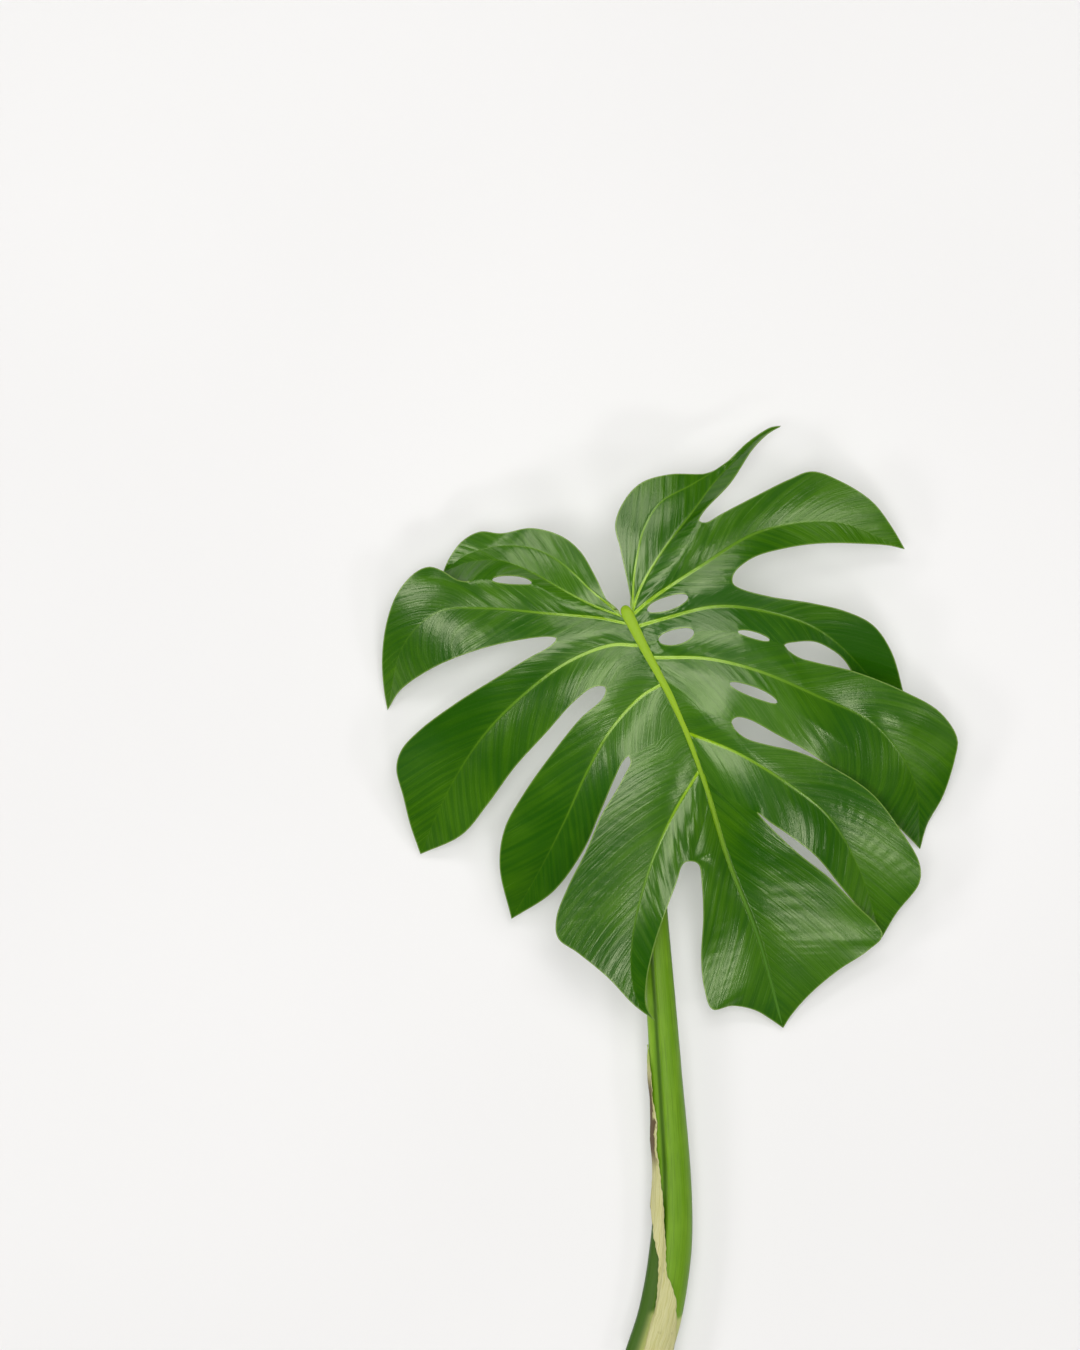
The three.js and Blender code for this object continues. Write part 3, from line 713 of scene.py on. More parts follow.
@dataclass(frozen=True)
class Underside:
    """The paler satin underside of the blade, with its raised veins."""

    lamina: Colour = (0.085, 0.205, 0.032)
    pale: Colour = (0.13, 0.27, 0.055)
    vein: Colour = (0.30, 0.45, 0.10)
    rib: Colour = (0.33, 0.50, 0.09)
    side_veins: SideVeins = SideVeins(slant=1.6, spacing=2.2, reach=30.0)
    side_vein_most: float = 0.35
    cloud_scale: float = 20.0
    vein_line: Range = (2.0, 0.9)  # half-widths from its middle between which a vein's colour starts
    vein_left: float = 0.3  # what is left of its colour at its end
    gloss: Range = (0.48, 0.6)
    streak_depth: float = 0.0002

    def material(self) -> bpy.types.Material:
        """Builds the finish.

        Returns:
            The material.
        """
        nodes = Nodes("blade_underside")
        vein, share, _ = nodes.parts(Carried.VEIN.value)
        _, on_midrib, _ = nodes.parts(Carried.PLACE.value)
        cloud = nodes.noise(nodes.object_place(), self.cloud_scale)
        side_veins = self.side_veins.noise(nodes)
        colour = nodes.mix(nodes.rise(cloud, *MIDDLE), self.lamina, self.pale)
        colour = nodes.mix(nodes.rise(side_veins, 0.55, 0.75, 0.0, self.side_vein_most), colour, self.vein)
        fading = nodes.rise(share, 0.5, 1.0, 1.0, self.vein_left)
        line = nodes.math("MULTIPLY", nodes.rise(vein, *self.vein_line), fading)
        colour = nodes.mix(line, colour, self.vein)
        colour = nodes.mix(nodes.rise(on_midrib, *NEARLY_ALL), colour, self.rib)
        relief = nodes.bump(side_veins, self.streak_depth)
        return nodes.finish(colour, nodes.rise(cloud, *MIDDLE, *self.gloss), relief)


@dataclass(frozen=True)
class StalkSkin:
    """The smooth green skin of the stalk, with fine lines along it, a pale foot, and painted shade in its
    groove and along its right side.

    The ranges of turns are angles round the stalk, and the other ranges are shares along it. The second
    of a pair runs backwards, because the finish fades out over it.
    """

    green: Colour = (0.115, 0.26, 0.004)
    # the colour of the fine dark lines, and of the painted shade in the groove and along the right
    dark: Colour = (0.035, 0.10, 0.001)
    light: Colour = (0.20, 0.37, 0.02)
    wing: Colour = (0.035, 0.10, 0.004)
    foot: Colour = (0.47, 0.50, 0.16)
    line_grain: Range = (120.0, 14.0)
    blotch_grain: Range = (9.0, 22.0)
    blotch_most: float = 0.35
    line_most: float = 0.45
    # strongest painted shade, in the groove and along the right side
    shade_most: float = 0.9
    head: Range = (0.9, 0.985)
    head_most: float = 0.85
    light_turns: tuple[Range, Range] = ((0.38, 0.42), (0.55, 0.5))
    light_shares: tuple[Range, Range] = ((0.38, 0.41), (0.52, 0.44))
    wing_turns: tuple[Range, Range] = ((0.33, 0.37), (0.72, 0.6))
    wing_ends: Range = (0.24, 0.2)
    foot_turns: Range = (0.40, 0.31)
    foot_ends: Range = (0.066, 0.056)
    foot_ragged: float = 0.006
    gloss: Range = (0.38, 0.48)
    line_depth: float = 0.00008

    def material(self) -> bpy.types.Material:
        """Builds the finish.

        Returns:
            The material.
        """
        nodes = Nodes("stalk_skin")
        along, turn, shade = nodes.parts(Carried.ROUND.value)
        lines = nodes.streaks(turn, along, self.line_grain, 0.0, 3.0)
        blotches = nodes.streaks(turn, along, self.blotch_grain, 4.0, 3.0)
        colour = nodes.mix(nodes.rise(blotches, 0.3, 0.75, 0.0, self.blotch_most), self.green, self.light)
        colour = nodes.mix(nodes.rise(lines, 0.45, 0.75, 0.0, self.line_most), colour, self.dark)
        # painted shade: the groove and the right side darkened where the light falls off
        colour = nodes.mix(nodes.rise(shade, 0.0, 1.0, 0.0, self.shade_most), colour, self.dark)
        colour = nodes.mix(nodes.rise(along, *self.head, 0.0, self.head_most), colour, self.light)
        lit = nodes.band(along, *self.light_shares)
        lit = nodes.math("MULTIPLY", nodes.band(turn, *self.light_turns), lit)
        colour = nodes.mix(lit, colour, self.light)
        on_wing = nodes.rise(along, *self.wing_ends)
        on_wing = nodes.math("MULTIPLY", nodes.band(turn, *self.wing_turns), on_wing)
        colour = nodes.mix(on_wing, colour, self.wing)
        ragged = nodes.rise(blotches, 0.2, 0.8, -self.foot_ragged, self.foot_ragged)
        foot = nodes.rise(nodes.math("ADD", along, ragged), *self.foot_ends)
        foot = nodes.math("MULTIPLY", foot, nodes.rise(turn, *self.foot_turns))
        colour = nodes.mix(foot, colour, self.foot)
        relief = nodes.bump(lines, self.line_depth)
        gloss = nodes.rise(blotches, *MIDDLE, *self.gloss)
        return nodes.finish(colour, gloss, relief, Specular_Tint=(1.0, 1.0, 0.7), Specular_IOR_Level=0.28)


@dataclass(frozen=True)
class CutFace:
    """The moist cut end of the stalk, pale with the dots of its strands."""

    pith: Colour = (0.52, 0.56, 0.26)
    strand: Colour = (0.25, 0.33, 0.10)
    dot_scale: float = 620.0
    dot_size: Range = (0.32, 0.12)
    dot_most: float = 0.8
    cloud_scale: float = 180.0
    cloud_most: float = 0.3
    gloss: Range = (0.35, 0.55)
    dot_depth: float = 0.0003

    def material(self) -> bpy.types.Material:
        """Builds the finish.

        Returns:
            The material.
        """
        nodes = Nodes("stalk_cut_face")
        place = nodes.object_place()
        inputs = {"Vector": place, "Scale": self.dot_scale}
        dots = nodes.add("ShaderNodeTexVoronoi", inputs).outputs["Distance"]
        colour = nodes.mix(nodes.rise(dots, *self.dot_size, 0.0, self.dot_most), self.pith, self.strand)
        cloud = nodes.noise(place, self.cloud_scale)
        colour = nodes.mix(nodes.rise(cloud, 0.4, 0.8, 0.0, self.cloud_most), colour, self.strand)
        return nodes.finish(colour, nodes.rise(cloud, *MIDDLE, *self.gloss), nodes.bump(dots, self.dot_depth))


@dataclass(frozen=True)
class DrySheath:
    """The papery dried membrane: cream, with a brown scorched patch and a yellow-green head."""

    cream: Colour = (0.56, 0.54, 0.27)
    straw: Colour = (0.44, 0.42, 0.15)
    brown: Colour = (0.105, 0.065, 0.022)
    head: Colour = (0.30, 0.42, 0.05)
    fibre_grain: Range = (150.0, 9.0)
    blotch_grain: Range = (24.0, 26.0)
    scorch: tuple[Range, Range] = ((0.58, 0.68), (0.93, 0.84))  # shares along the sheath
    scorch_across: Range = (0.1, 0.22)
    scorch_ragged: float = 0.22
    spots: Range = (0.62, 0.75)
    spot_most: float = 0.3
    head_share: Range = (0.9, 0.98)
    gloss: Range = (0.6, 0.78)
    fibre_depth: float = 0.00012
    blotch_depth: float = 0.00024

    def material(self) -> bpy.types.Material:
        """Builds the finish.

        Returns:
            The material.
        """
        nodes = Nodes("dry_sheath")
        along, turn, across = nodes.parts(Carried.ROUND.value)
        fibres = nodes.streaks(turn, along, self.fibre_grain, 0.0, 4.0)
        blotches = nodes.streaks(turn, along, self.blotch_grain, 3.0, 4.0)
        colour = nodes.mix(nodes.rise(fibres, 0.35, 0.7), self.cream, self.straw)
        ragged = nodes.rise(blotches, 0.25, 0.75, -self.scorch_ragged, self.scorch_ragged)
        scorched = nodes.rise(nodes.math("ADD", across, ragged), *self.scorch_across)
        scorched = nodes.math("MULTIPLY", nodes.band(along, *self.scorch), scorched)
        colour = nodes.mix(scorched, colour, self.brown)
        colour = nodes.mix(nodes.rise(blotches, *self.spots, 0.0, self.spot_most), colour, self.brown)
        colour = nodes.mix(nodes.rise(along, *self.head_share), colour, self.head)
        relief = nodes.bump(fibres, self.fibre_depth)
        relief = nodes.bump(blotches, self.blotch_depth, relief)
        return nodes.finish(colour, nodes.rise(fibres, *MIDDLE, *self.gloss), relief)


@dataclass(frozen=True)
class PaleFloor:
    """A plain pale floor, lit from within a little as a light table is, which softens the shadows."""

    colour: Colour = (0.575, 0.568, 0.562)
    shade: Colour = (0.558, 0.551, 0.545)
    shade_scale: float = 3.0
    gloss: float = 0.75
    glow: Colour = (1.0, 0.985, 0.97)
    glow_strength: float = 0.27

    def material(self) -> bpy.types.Material:
        """Builds the finish.

        Returns:
            The material.
        """
        nodes = Nodes("pale_floor")
        cloud = nodes.noise(nodes.object_place(), self.shade_scale, detail=1.0)
        colour = nodes.mix(nodes.rise(cloud, *MIDDLE), self.colour, self.shade)
        glow = {"Emission_Color": self.glow, "Emission_Strength": self.glow_strength}
        return nodes.finish(colour, self.gloss, **glow)


# ---- Thin sheets ----------------------------------------------------------------------------------


class Sheet:
    """Gathers the upper face of a thin sheet, then closes it into a solid.

    A place that comes up twice is kept once. The corners of the faces carry nine values, the three of
    each of three Carried names, which may differ on the two sides of a line.
    """

    DIGITS = 3  # places that agree to this many decimals of a millimetre are one place
    SHORTEST = 0.3  # millimetres; closer neighbours pull no harder
    EVENING = 0.6  # how far a place moves towards its neighbours' height in one round
    TIP_HOLD: Range = (4.0, 30.0)  # millimetres from a tip between which places become free to move
    DEEPEST_BULGE = 1.0  # millimetres; a deeper rim bulges no further

    def __init__(self) -> None:
        """Starts an empty sheet."""
        self.places: list[tuple[float, float, float]] = []
        self.depths: list[float] = []
        self.relief: list[float] = []
        self.plumb: list[bool] = []
        self.numbers: dict[tuple[float, float, float], int] = {}
        self.faces: list[tuple[int, ...]] = []
        self.values: list[np.ndarray] = []

    def number(self, place: np.ndarray, depth: float, relief: float, plumb: bool) -> int:
        """Returns the number of a place.

        Args:
            place: The place, in millimetres.
            depth: How far the underside lies below it.
            relief: How far the fine relief raises it.
            plumb: Whether the underside lies straight below, and not along the normal.

        Returns:
            The place's number.
        """
        key = tuple(round(float(value), self.DIGITS) + 0.0 for value in place)
        if key not in self.numbers:
            self.numbers[key] = len(self.places)
            self.places.append(key)
            self.depths.append(depth)
            self.relief.append(relief)
            self.plumb.append(plumb)
        return self.numbers[key]

    def face(self, corners: list[int], values: list[np.ndarray]) -> None:
        """Adds a face, turned to face up, without corners that are the same place.

        Args:
            corners: The numbers of its places, in order round it.
            values: The nine carried values at each corner.
        """
        kept = [i for i, corner in enumerate(corners) if corner != corners[i - 1]]
        if len(kept) < 3 or len({corners[i] for i in kept}) < len(kept):
            return
        ring = np.array([self.places[corners[i]][:2] for i in kept])
        ahead = np.roll(ring, -1, axis=0)
        if (ring[:, 0] * ahead[:, 1] - ring[:, 1] * ahead[:, 0]).sum() < 0:
            kept.reverse()
        self.faces.append(tuple(corners[i] for i in kept))
        self.values.append(np.array([values[i] for i in kept]))

    def grid(
        self, places: np.ndarray, depths: np.ndarray, relief: np.ndarray, values: np.ndarray,
        plumb: bool = False,
    ) -> np.ndarray:
        """Adds a grid of faces.

        Args:
            places: The grid's places, of shape (rows, columns, 3).
            depths: The depth of the sheet at each place.
            relief: How far the fine relief raises each place.
            values: The nine carried values at each place.
            plumb: Whether the underside lies straight below.

        Returns:
            The number of each place.
        """
        rows, columns = depths.shape
        numbers = np.zeros((rows, columns), int)
        for spot in np.ndindex(rows, columns):
            numbers[spot] = self.number(places[spot], float(depths[spot]), float(relief[spot]), plumb)
        for i in range(1, rows):
            for j in range(1, columns):
                ring = ((i - 1, j - 1), (i - 1, j), (i, j), (i, j - 1))
                self.face([int(numbers[spot]) for spot in ring], [values[spot] for spot in ring])
        return numbers

    def stitch(self, first: list[tuple], second: list[tuple]) -> None:
        """Fills the strip between two lines whose places don't face each other.

        Args:
            first: One line's places, as (number, distance, values).
            second: The other line's.
        """
        i = j = 0
        while i < len(first) - 1 or j < len(second) - 1:
            next_first = first[i + 1][1] if i < len(first) - 1 else math.inf
            next_second = second[j + 1][1] if j < len(second) - 1 else math.inf
            if next_first <= next_second:
                corners = (first[i], first[i + 1], second[j])
                i += 1
            else:
                corners = (first[i], second[j + 1], second[j])
                j += 1
            self.face([corner[0] for corner in corners], [corner[2] for corner in corners])

    def normals(self, places: np.ndarray) -> np.ndarray:
        """Measures which way the upper face looks.

        Args:
            places: The places of the upper face.

        Returns:
            The upward unit normal of each place.
        """
        normals = np.zeros_like(places)
        for face in self.faces:
            ring = places[list(face)]
            normal = np.cross(ring[2] - ring[0], ring[-1] - ring[1] if len(face) == 4 else ring[2] - ring[1])
            normal = normal if normal[2] > 0 else -normal
            normals[list(face)] += normal
        return normals / np.maximum(np.linalg.norm(normals, axis=1, keepdims=True), TINY)

    def rim(self) -> list[tuple[int, int, np.ndarray, np.ndarray]]:
        """Finds the open edges.

        Returns:
            Each edge's two places, in the order of its face, and their carried values.
        """
        open_edges: dict[tuple[int, int], tuple] = {}
        for face, values in zip(self.faces, self.values):
            for k, start in enumerate(face):
                after = (k + 1) % len(face)
                end = face[after]
                if open_edges.pop((end, start), None) is None:
                    open_edges[(start, end)] = (start, end, values[k], values[after])
        return list(open_edges.values())

    def faired(self, rounds: int, tips: np.ndarray) -> np.ndarray:
        """Evens out the heights, and adds the fine relief. Plumb places and the tips stay as they are.

        Args:
            rounds: How many times each place moves towards its neighbours' height.
            tips: Places in plan near which the heights stay.

        Returns:
            The places of the upper face.
        """
        places = np.array(self.places)
        pairs = np.array([(face[k - 1], face[k]) for face in self.faces for k in range(len(face))])
        start, end = np.unique(np.sort(pairs, axis=1), axis=0).T
        to_tip = np.linalg.norm(places[:, None, :2] - tips, axis=2).min(axis=1)
        moves = self.EVENING * smoothstep(to_tip, *self.TIP_HOLD) * ~np.array(self.plumb)
        pull = 1 / np.maximum(np.linalg.norm(places[start] - places[end], axis=1), self.SHORTEST)
        count = len(places)
        total = np.bincount(start, pull, count) + np.bincount(end, pull, count)
        height = places[:, 2].copy()
        for _ in range(rounds):
            pulled = np.bincount(start, pull * height[end], count)
            pulled += np.bincount(end, pull * height[start], count)
            height = lerp(height, pulled / total, moves)
        places[:, 2] = height + np.array(self.relief)
        return places

    def solid(self, name: str, bulge: float, rounds: int, tips: np.ndarray) -> bpy.types.Object:
        """Closes the sheet with an underside and a rounded rim.

        Args:
            name: The name of the piece.
            bulge: How far the middle of the rim stands out, as a share of the depth.
            rounds: How often the heights are evened out.
            tips: Places in plan near which the heights stay.

        Returns:
            The piece, with the upper face in material 0 and the underside in material 1.
        """
        upper = self.faired(rounds, tips)
        normals = self.normals(upper)
        depths = np.array(self.depths)[:, None]
        down = np.where(np.array(self.plumb)[:, None], np.array([0.0, 0.0, 1.0]), normals)
        lower = upper - down * depths
        count = len(upper)
        rim = self.rim()
        outward = np.zeros_like(upper)
        for start, end, _, _ in rim:
            along = upper[end] - upper[start]
            side = np.cross(along, normals[start])
            outward[[start, end]] += side / max(np.linalg.norm(side), TINY)
        edge = sorted({start for start, *_ in rim} | {end for _, end, *_ in rim})
        middle_number = {number: 2 * count + k for k, number in enumerate(edge)}
        outward = outward[edge]
        outward = outward / np.maximum(np.linalg.norm(outward, axis=1, keepdims=True), TINY)
        reach = np.minimum(depths[edge], self.DEEPEST_BULGE) * bulge
        middle = (upper[edge] + lower[edge]) / 2 + outward * reach
        faces = list(self.faces)
        faces += [tuple(count + number for number in reversed(face)) for face in self.faces]
        values = list(self.values) + [ring[::-1] for ring in self.values]
        for start, end, at_start, at_end in rim:
            first, last = middle_number[start], middle_number[end]
            faces.append((end, start, first, last))
            faces.append((last, first, count + start, count + end))
            values += [np.array([at_end, at_start, at_start, at_end])] * 2
        mesh = bpy.data.meshes.new(name)
        mesh.from_pydata(to_row(np.vstack([upper, lower, middle])).tolist(), [], faces)
        carry(mesh, np.vstack(values), (Carried.VEIN, Carried.FLOW, Carried.PLACE))
        slots = np.zeros(len(faces), np.int32)
        slots[len(self.faces) : 2 * len(self.faces)] = 1
        mesh.polygons.foreach_set("material_index", slots)
        sharp = {frozenset((level + a, level + b)) for a, b, *_ in rim for level in (0, count)}
        sharpen(mesh, sharp)
        return show(name, mesh)


def carry(mesh: bpy.types.Mesh, values: np.ndarray, names: tuple[Carried, ...]) -> None:
    """Stores values on the corners of a mesh, three for each name.

    Args:
        mesh: The mesh.
        values: A row of values for each corner.
        names: The names, in the order of the values.
    """
    for k, name in enumerate(names):
        layer = mesh.attributes.new(name.value, "FLOAT_VECTOR", "CORNER")
        layer.data.foreach_set("vector", values[:, 3 * k : 3 * k + 3].astype(np.float32).ravel())


def sharpen(mesh: bpy.types.Mesh, edges: set[frozenset[int]]) -> None:
    """Smooths the shading of a mesh.

    Args:
        mesh: The mesh.
        edges: The edges that stay sharp, each as the numbers of its two ends.
    """
    mesh.polygons.foreach_set("use_smooth", np.ones(len(mesh.polygons), bool))
    marks = np.array([frozenset(edge.vertices) in edges for edge in mesh.edges])
    layer = mesh.attributes.new("sharp_edge", "BOOLEAN", "EDGE")
    layer.data.foreach_set("value", marks)


def show(name: str, mesh: bpy.types.Mesh) -> bpy.types.Object:
    """Puts a mesh into the scene.

    Args:
        name: The object's name.
        mesh: The mesh.

    Returns:
        The object.
    """
    piece = bpy.data.objects.new(name, mesh)
    bpy.context.scene.collection.objects.link(piece)
    return piece


def place_piece(piece: bpy.types.Object, node: str, finishes: list[bpy.types.Material]) -> None:
    """Dresses a piece and ties it to the frame.

    Args:
        piece: The piece.
        node: The frame's node that it stands for.
        finishes: The piece's materials, in the order of its faces' numbers.
    """
    for finish in finishes:
        piece.data.materials.append(finish)
    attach(piece, "root")
    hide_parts(node)
    log.info("%s: %d faces for %s", piece.name, len(piece.data.polygons), node)


# ---- Blade ----------------------------------------------------------------------------------------


@dataclass
class Line:
    """A line from the midrib to a tip: its places in plan on both sides of its holes, and its heights."""

    points: np.ndarray
    heights: np.ndarray
    leaves: float
    far_points: np.ndarray
    free_from: int
    vein_width: float = 0.0


@dataclass
class LobePlan:
    """A lobe laid out in plan, row by row from the midrib to the tip."""

    near: np.ndarray
    vein: np.ndarray
    heights: np.ndarray
    far: np.ndarray | None = None
    distances: np.ndarray | None = None


@dataclass
class LeafBlade:
    """The blade: ten lobes and the terminal one, joined by the midrib. Sizes are in millimetres."""

    base_height: float = 62.0
    apex_height: float = 4.0
    midrib_arch: float = 2.2
    midrib_ease: float = 4.0
    thickness: float = 0.55
    rim_thickness: float = 0.35
    fold_rise: float = 5.0
    fold_reach: float = 0.625
    droop_power: float = 1.9
    quilt_height: float = 2.2
    quilt_grows: float = 0.2
    edge_settles: float = 0.5
    terminal_fall: float = 6.0
    terminal_tone: float = 0.3
    terminal_vein: float = 0.15
    puff: float = 3.0  # how far the lamina arches up between a vein and the next line
    puff_widths: Range = (2.0, 30.0)  # widths of a strip between which it starts to arch
    ripple: float = 0.8  # height of the waves along the free edges
    ripple_length: float = 34.0
    ripple_grows: Range = (0.0, 0.3)  # shares of the free edge
    ripple_dies: Range = (0.7, 1.0)
    furrow: float = 0.11  # height of the soft ridges between side veins
    furrow_spacing: float = 8.5
    furrow_slant: float = 1.5  # how far one runs along for each millimetre across
    furrow_wander: float = 1.5
    furrow_wander_rate: float = 0.37
    sway_height: float = 0.7  # height of the slow swells of the whole blade
    vein_scale: float = 0.68  # half-width of a vein at its base, for a plan width of 1
    vein_taper: float = 0.8
    vein_least: float = 0.15
    vein_groove: float = 0.45
    groove_reach: float = 1.5  # in half-widths of the vein
    groove_fade: float = 1.2
    groove_floor: float = 0.6  # how much of the groove the vein in it fills, and its reach
    trough: float = 1.15  # depth of the wide dip that a vein lies in
    trough_reach: float = 6.5
    trough_start: float = 0.1  # share of the rows over which it deepens
    trough_seam: float = 4.0  # distance from a seam at which it fades
    fairing: int = 90  # rounds that even out the heights
    vein_ridge: float = 1.5
    ridge_start: float = 0.03  # share of the rows over which it rises
    rim_width: float = 2.5  # the rim thickens to the lamina over this
    far_from_rim: float = 30.0
    far_from_vein: float = 9.0  # in half-widths of the vein
    midrib_least: float = 0.7  # half-width towards the apex
    midrib_widens: float = 3.1  # how much wider it is at the base
    midrib_narrows_over: float = 65.0
    midrib_point_length: float = 12.0
    rib_least: float = 0.6
    rib_deepens: float = 6.0
    rib_thins_over: float = 60.0
    rib_belly: float = 0.97  # how round it is underneath
    midrib_crown: float = 0.6
    crown_left: float = 0.25  # share of the crown towards the apex
    crown_sinks_over: float = 80.0
    crown_power: float = 0.7
    nose: float = 5.0  # length of the round nose past the base
    nose_rows: int = 8
    nose_narrowest: float = 0.05
    nose_drop: float = 3.2
    midrib_stops: float = 3.0  # how far from the apex its own grid ends
    steps: int = 20  # steps that the clefts are counted in
    fine: int = 6  # rows in a step
    hole_steps: int = 4
    end_rounding: float = 0.5  # how much the rows crowd at the ends of a hole
    columns: int = 12
    column_power: float = 1.55  # over 1 crowds the columns towards the vein
    rib_rows: int = 220
    rib_columns: int = 12
    rib_share: float = 0.86  # the part of the midrib's width that its own grid covers
    midrib: SmoothCurve = field(default_factory=lambda: SmoothCurve(MIDRIB))

    @property
    def rows(self) -> int:
        """Rows from the midrib to a tip."""
        return self.steps * self.fine

    def midrib_height(self, distance: Any) -> Any:
        """Returns the height of the midrib's upper face."""
        share = np.clip(np.asarray(distance, float) / self.midrib.length, 0.0, 1.0)
        return self.base_height - (self.base_height - self.apex_height) * share**self.midrib_arch

    def midrib_half_width(self, distance: Any) -> Any:
        """Measures the midrib, which narrows to nothing at the apex.

        Args:
            distance: Distances along it.

        Returns:
            Half its width there.
        """
        distance = np.asarray(distance, float)
        near_tip = np.clip((self.midrib.length - distance) / self.midrib_point_length, 0.0, 1.0)
        wider = self.midrib_widens * np.exp(-np.maximum(distance, 0.0) / self.midrib_narrows_over)
        return (self.midrib_least + wider) * near_tip

    def rib_depth(self, distance: Any) -> Any:
        """Returns how far the midrib stands out underneath."""
        away = np.maximum(np.asarray(distance, float), 0.0) / self.rib_thins_over
        return self.rib_least + self.rib_deepens * np.exp(-away)

    def midrib_point(self, distance: Any, hand: float) -> np.ndarray:
        """Returns places on the midrib: hand is -1 for its left border and 1 for its right."""
        distance = np.asarray(distance, float)
        return self.midrib.sideways(distance, hand * self.midrib_half_width(distance))

    def spaced(self, length: float, steps: int, holes: tuple[Hole, ...]) -> np.ndarray:
        """Returns distances of rows along a line, with rows enough round each hole.

        Args:
            length: The line's length.
            steps: The steps that the whole line takes.
            holes: The holes on the line.

        Returns:
            The distances, from 0 to length.
        """
        plain = length - sum(hole.length for hole in holes)
        free = steps - len(holes) * self.hole_steps
        distances, start, used, passed = [np.zeros(1)], 0.0, 0, 0.0
        for hole in (*holes, None):
            end = length if hole is None else hole.centre - hole.length / 2
            passed += end - start
            taken = max(1, round(free * passed / plain) - used)
            used += taken
            distances.append(np.linspace(start, end, taken * self.fine + 1)[1:])
            if hole is not None:
                even = np.linspace(0.0, 1.0, self.hole_steps * self.fine + 1)[1:]
                place = lerp(2 * even - 1, -np.cos(math.pi * even), self.end_rounding)
                distances.append(hole.centre + place * hole.length / 2)
                start = hole.centre + hole.length / 2
        return np.concatenate(distances)

    @staticmethod
    def hole_reach(holes: tuple[Hole, ...], distances: np.ndarray) -> np.ndarray:
        """Measures the holes on a line.

        Args:
            holes: The holes.
            distances: Distances along the line.

        Returns:
            Half the holes' width there, 0 between them.
        """
        reach = np.zeros_like(distances)
        for hole in holes:
            share = (distances - hole.centre) / (hole.length / 2)
            reach += hole.width / 2 * np.sqrt(np.clip(1 - share**2, 0.0, 1.0))
        return reach

    def free_edge(
        self, cleft: Cleft, own: Plan, other: Plan, own_tip: Any, other_tip: Any, rows: int
    ) -> np.ndarray:
        """Returns a lobe's free edge from the sinus to its tip.

        Both edges of the cleft are one smooth curve, so the sinus is round.

        Args:
            cleft: The cleft.
            own: The points of this edge.
            other: The points of the edge across the cleft.
            own_tip: The tip that this edge runs to.
            other_tip: The tip that the other edge runs to.
            rows: How many rows the edge takes.

        Returns:
            Places in plan, evenly spaced.
        """
        curve = SmoothCurve([other_tip, *reversed(other), cleft.sinus, *own, own_tip])
        start = curve.knots_passed[len(other) + 1]
        return curve.at(np.linspace(start, curve.length, rows + 1))

    def cleft_line(self, side: Side, index: int, towards_base: bool) -> np.ndarray:
        """Lays out one edge along a cleft: the seam from the midrib to the sinus, then the free edge.

        Args:
            side: The side that the cleft is on.
            index: The cleft's number.
            towards_base: Whether it is the edge of the lobe on the base's side.

        Returns:
            The edge's places in plan, one for each row.
        """
        cleft = side.clefts[index]
        tips = [*(lobe.tip for lobe in side.lobes), MIDRIB[-1]][index : index + 2]
        edges = [cleft.near, cleft.far]
        if not towards_base:
            tips.reverse()
            edges.reverse()
        through = SmoothCurve([self.midrib_point(cleft.leaves, side.hand), *cleft.seam, cleft.sinus])
        distances = self.spaced(through.length, cleft.steps, cleft.holes)
        push = side.hand if towards_base else -side.hand
        seam = through.sideways(distances, push * self.hole_reach(cleft.holes, distances))
        free = self.free_edge(cleft, edges[0], edges[1], tips[0], tips[1], self.rows + 1 - len(seam))
        return np.vstack([seam, free[1:]])

    def vein_heights(self, lobe: Lobe, shares: np.ndarray) -> np.ndarray:
        """Shapes a vein, which rises a little beside the midrib and then droops.

        Args:
            lobe: The vein's lobe.
            shares: Shares of the way along it.

        Returns:
            The heights there.
        """
        rise = np.sin(np.pi * np.minimum(1.0, shares / self.fold_reach)) * (1 - shares)
        fall = lerp(self.midrib_height(lobe.leaves), lobe.height, shares**self.droop_power)
        return fall + self.fold_rise * rise

    def lay_out(self, side: Side) -> list[LobePlan]:
        """Lays out the lobes of one side in plan.

        Args:
            side: The side.

        Returns:
            Its lobes' plans, the half of the terminal lobe last.
        """
        plans = []
        for index, lobe in enumerate(side.lobes):
            start = self.midrib_point(lobe.leaves, side.hand)
            if index == 0:
                margin = SmoothCurve([start, *side.margin, lobe.tip])
                near = margin.at(np.linspace(0.0, margin.length, self.rows + 1))
            else:
                near = self.cleft_line(side, index - 1, towards_base=False)
            far = self.cleft_line(side, index, towards_base=True)
            shares = ((passed_shares(near) + passed_shares(far)) / 2) ** lobe.lag
            through = SmoothCurve([start, *lobe.vein, lobe.tip])
            vein = through.at(shares * through.length)
            plans.append(LobePlan(near, vein, self.vein_heights(lobe, shares), far))
        near = self.cleft_line(side, len(side.clefts) - 1, towards_base=False)
        distances = lerp(side.clefts[-1].leaves, self.midrib.length, passed_shares(near))
        vein = self.midrib_point(distances, side.hand)
        plans.append(LobePlan(near, vein, self.midrib_height(distances), distances=distances))
        return plans

    def eased(self, heights: np.ndarray, leaves: float) -> np.ndarray:
        """Returns heights that start at the midrib's own."""
        away = 1 - np.arange(self.rows + 1) / self.rows
        return heights + (self.midrib_height(leaves) - heights[0]) * away**self.midrib_ease

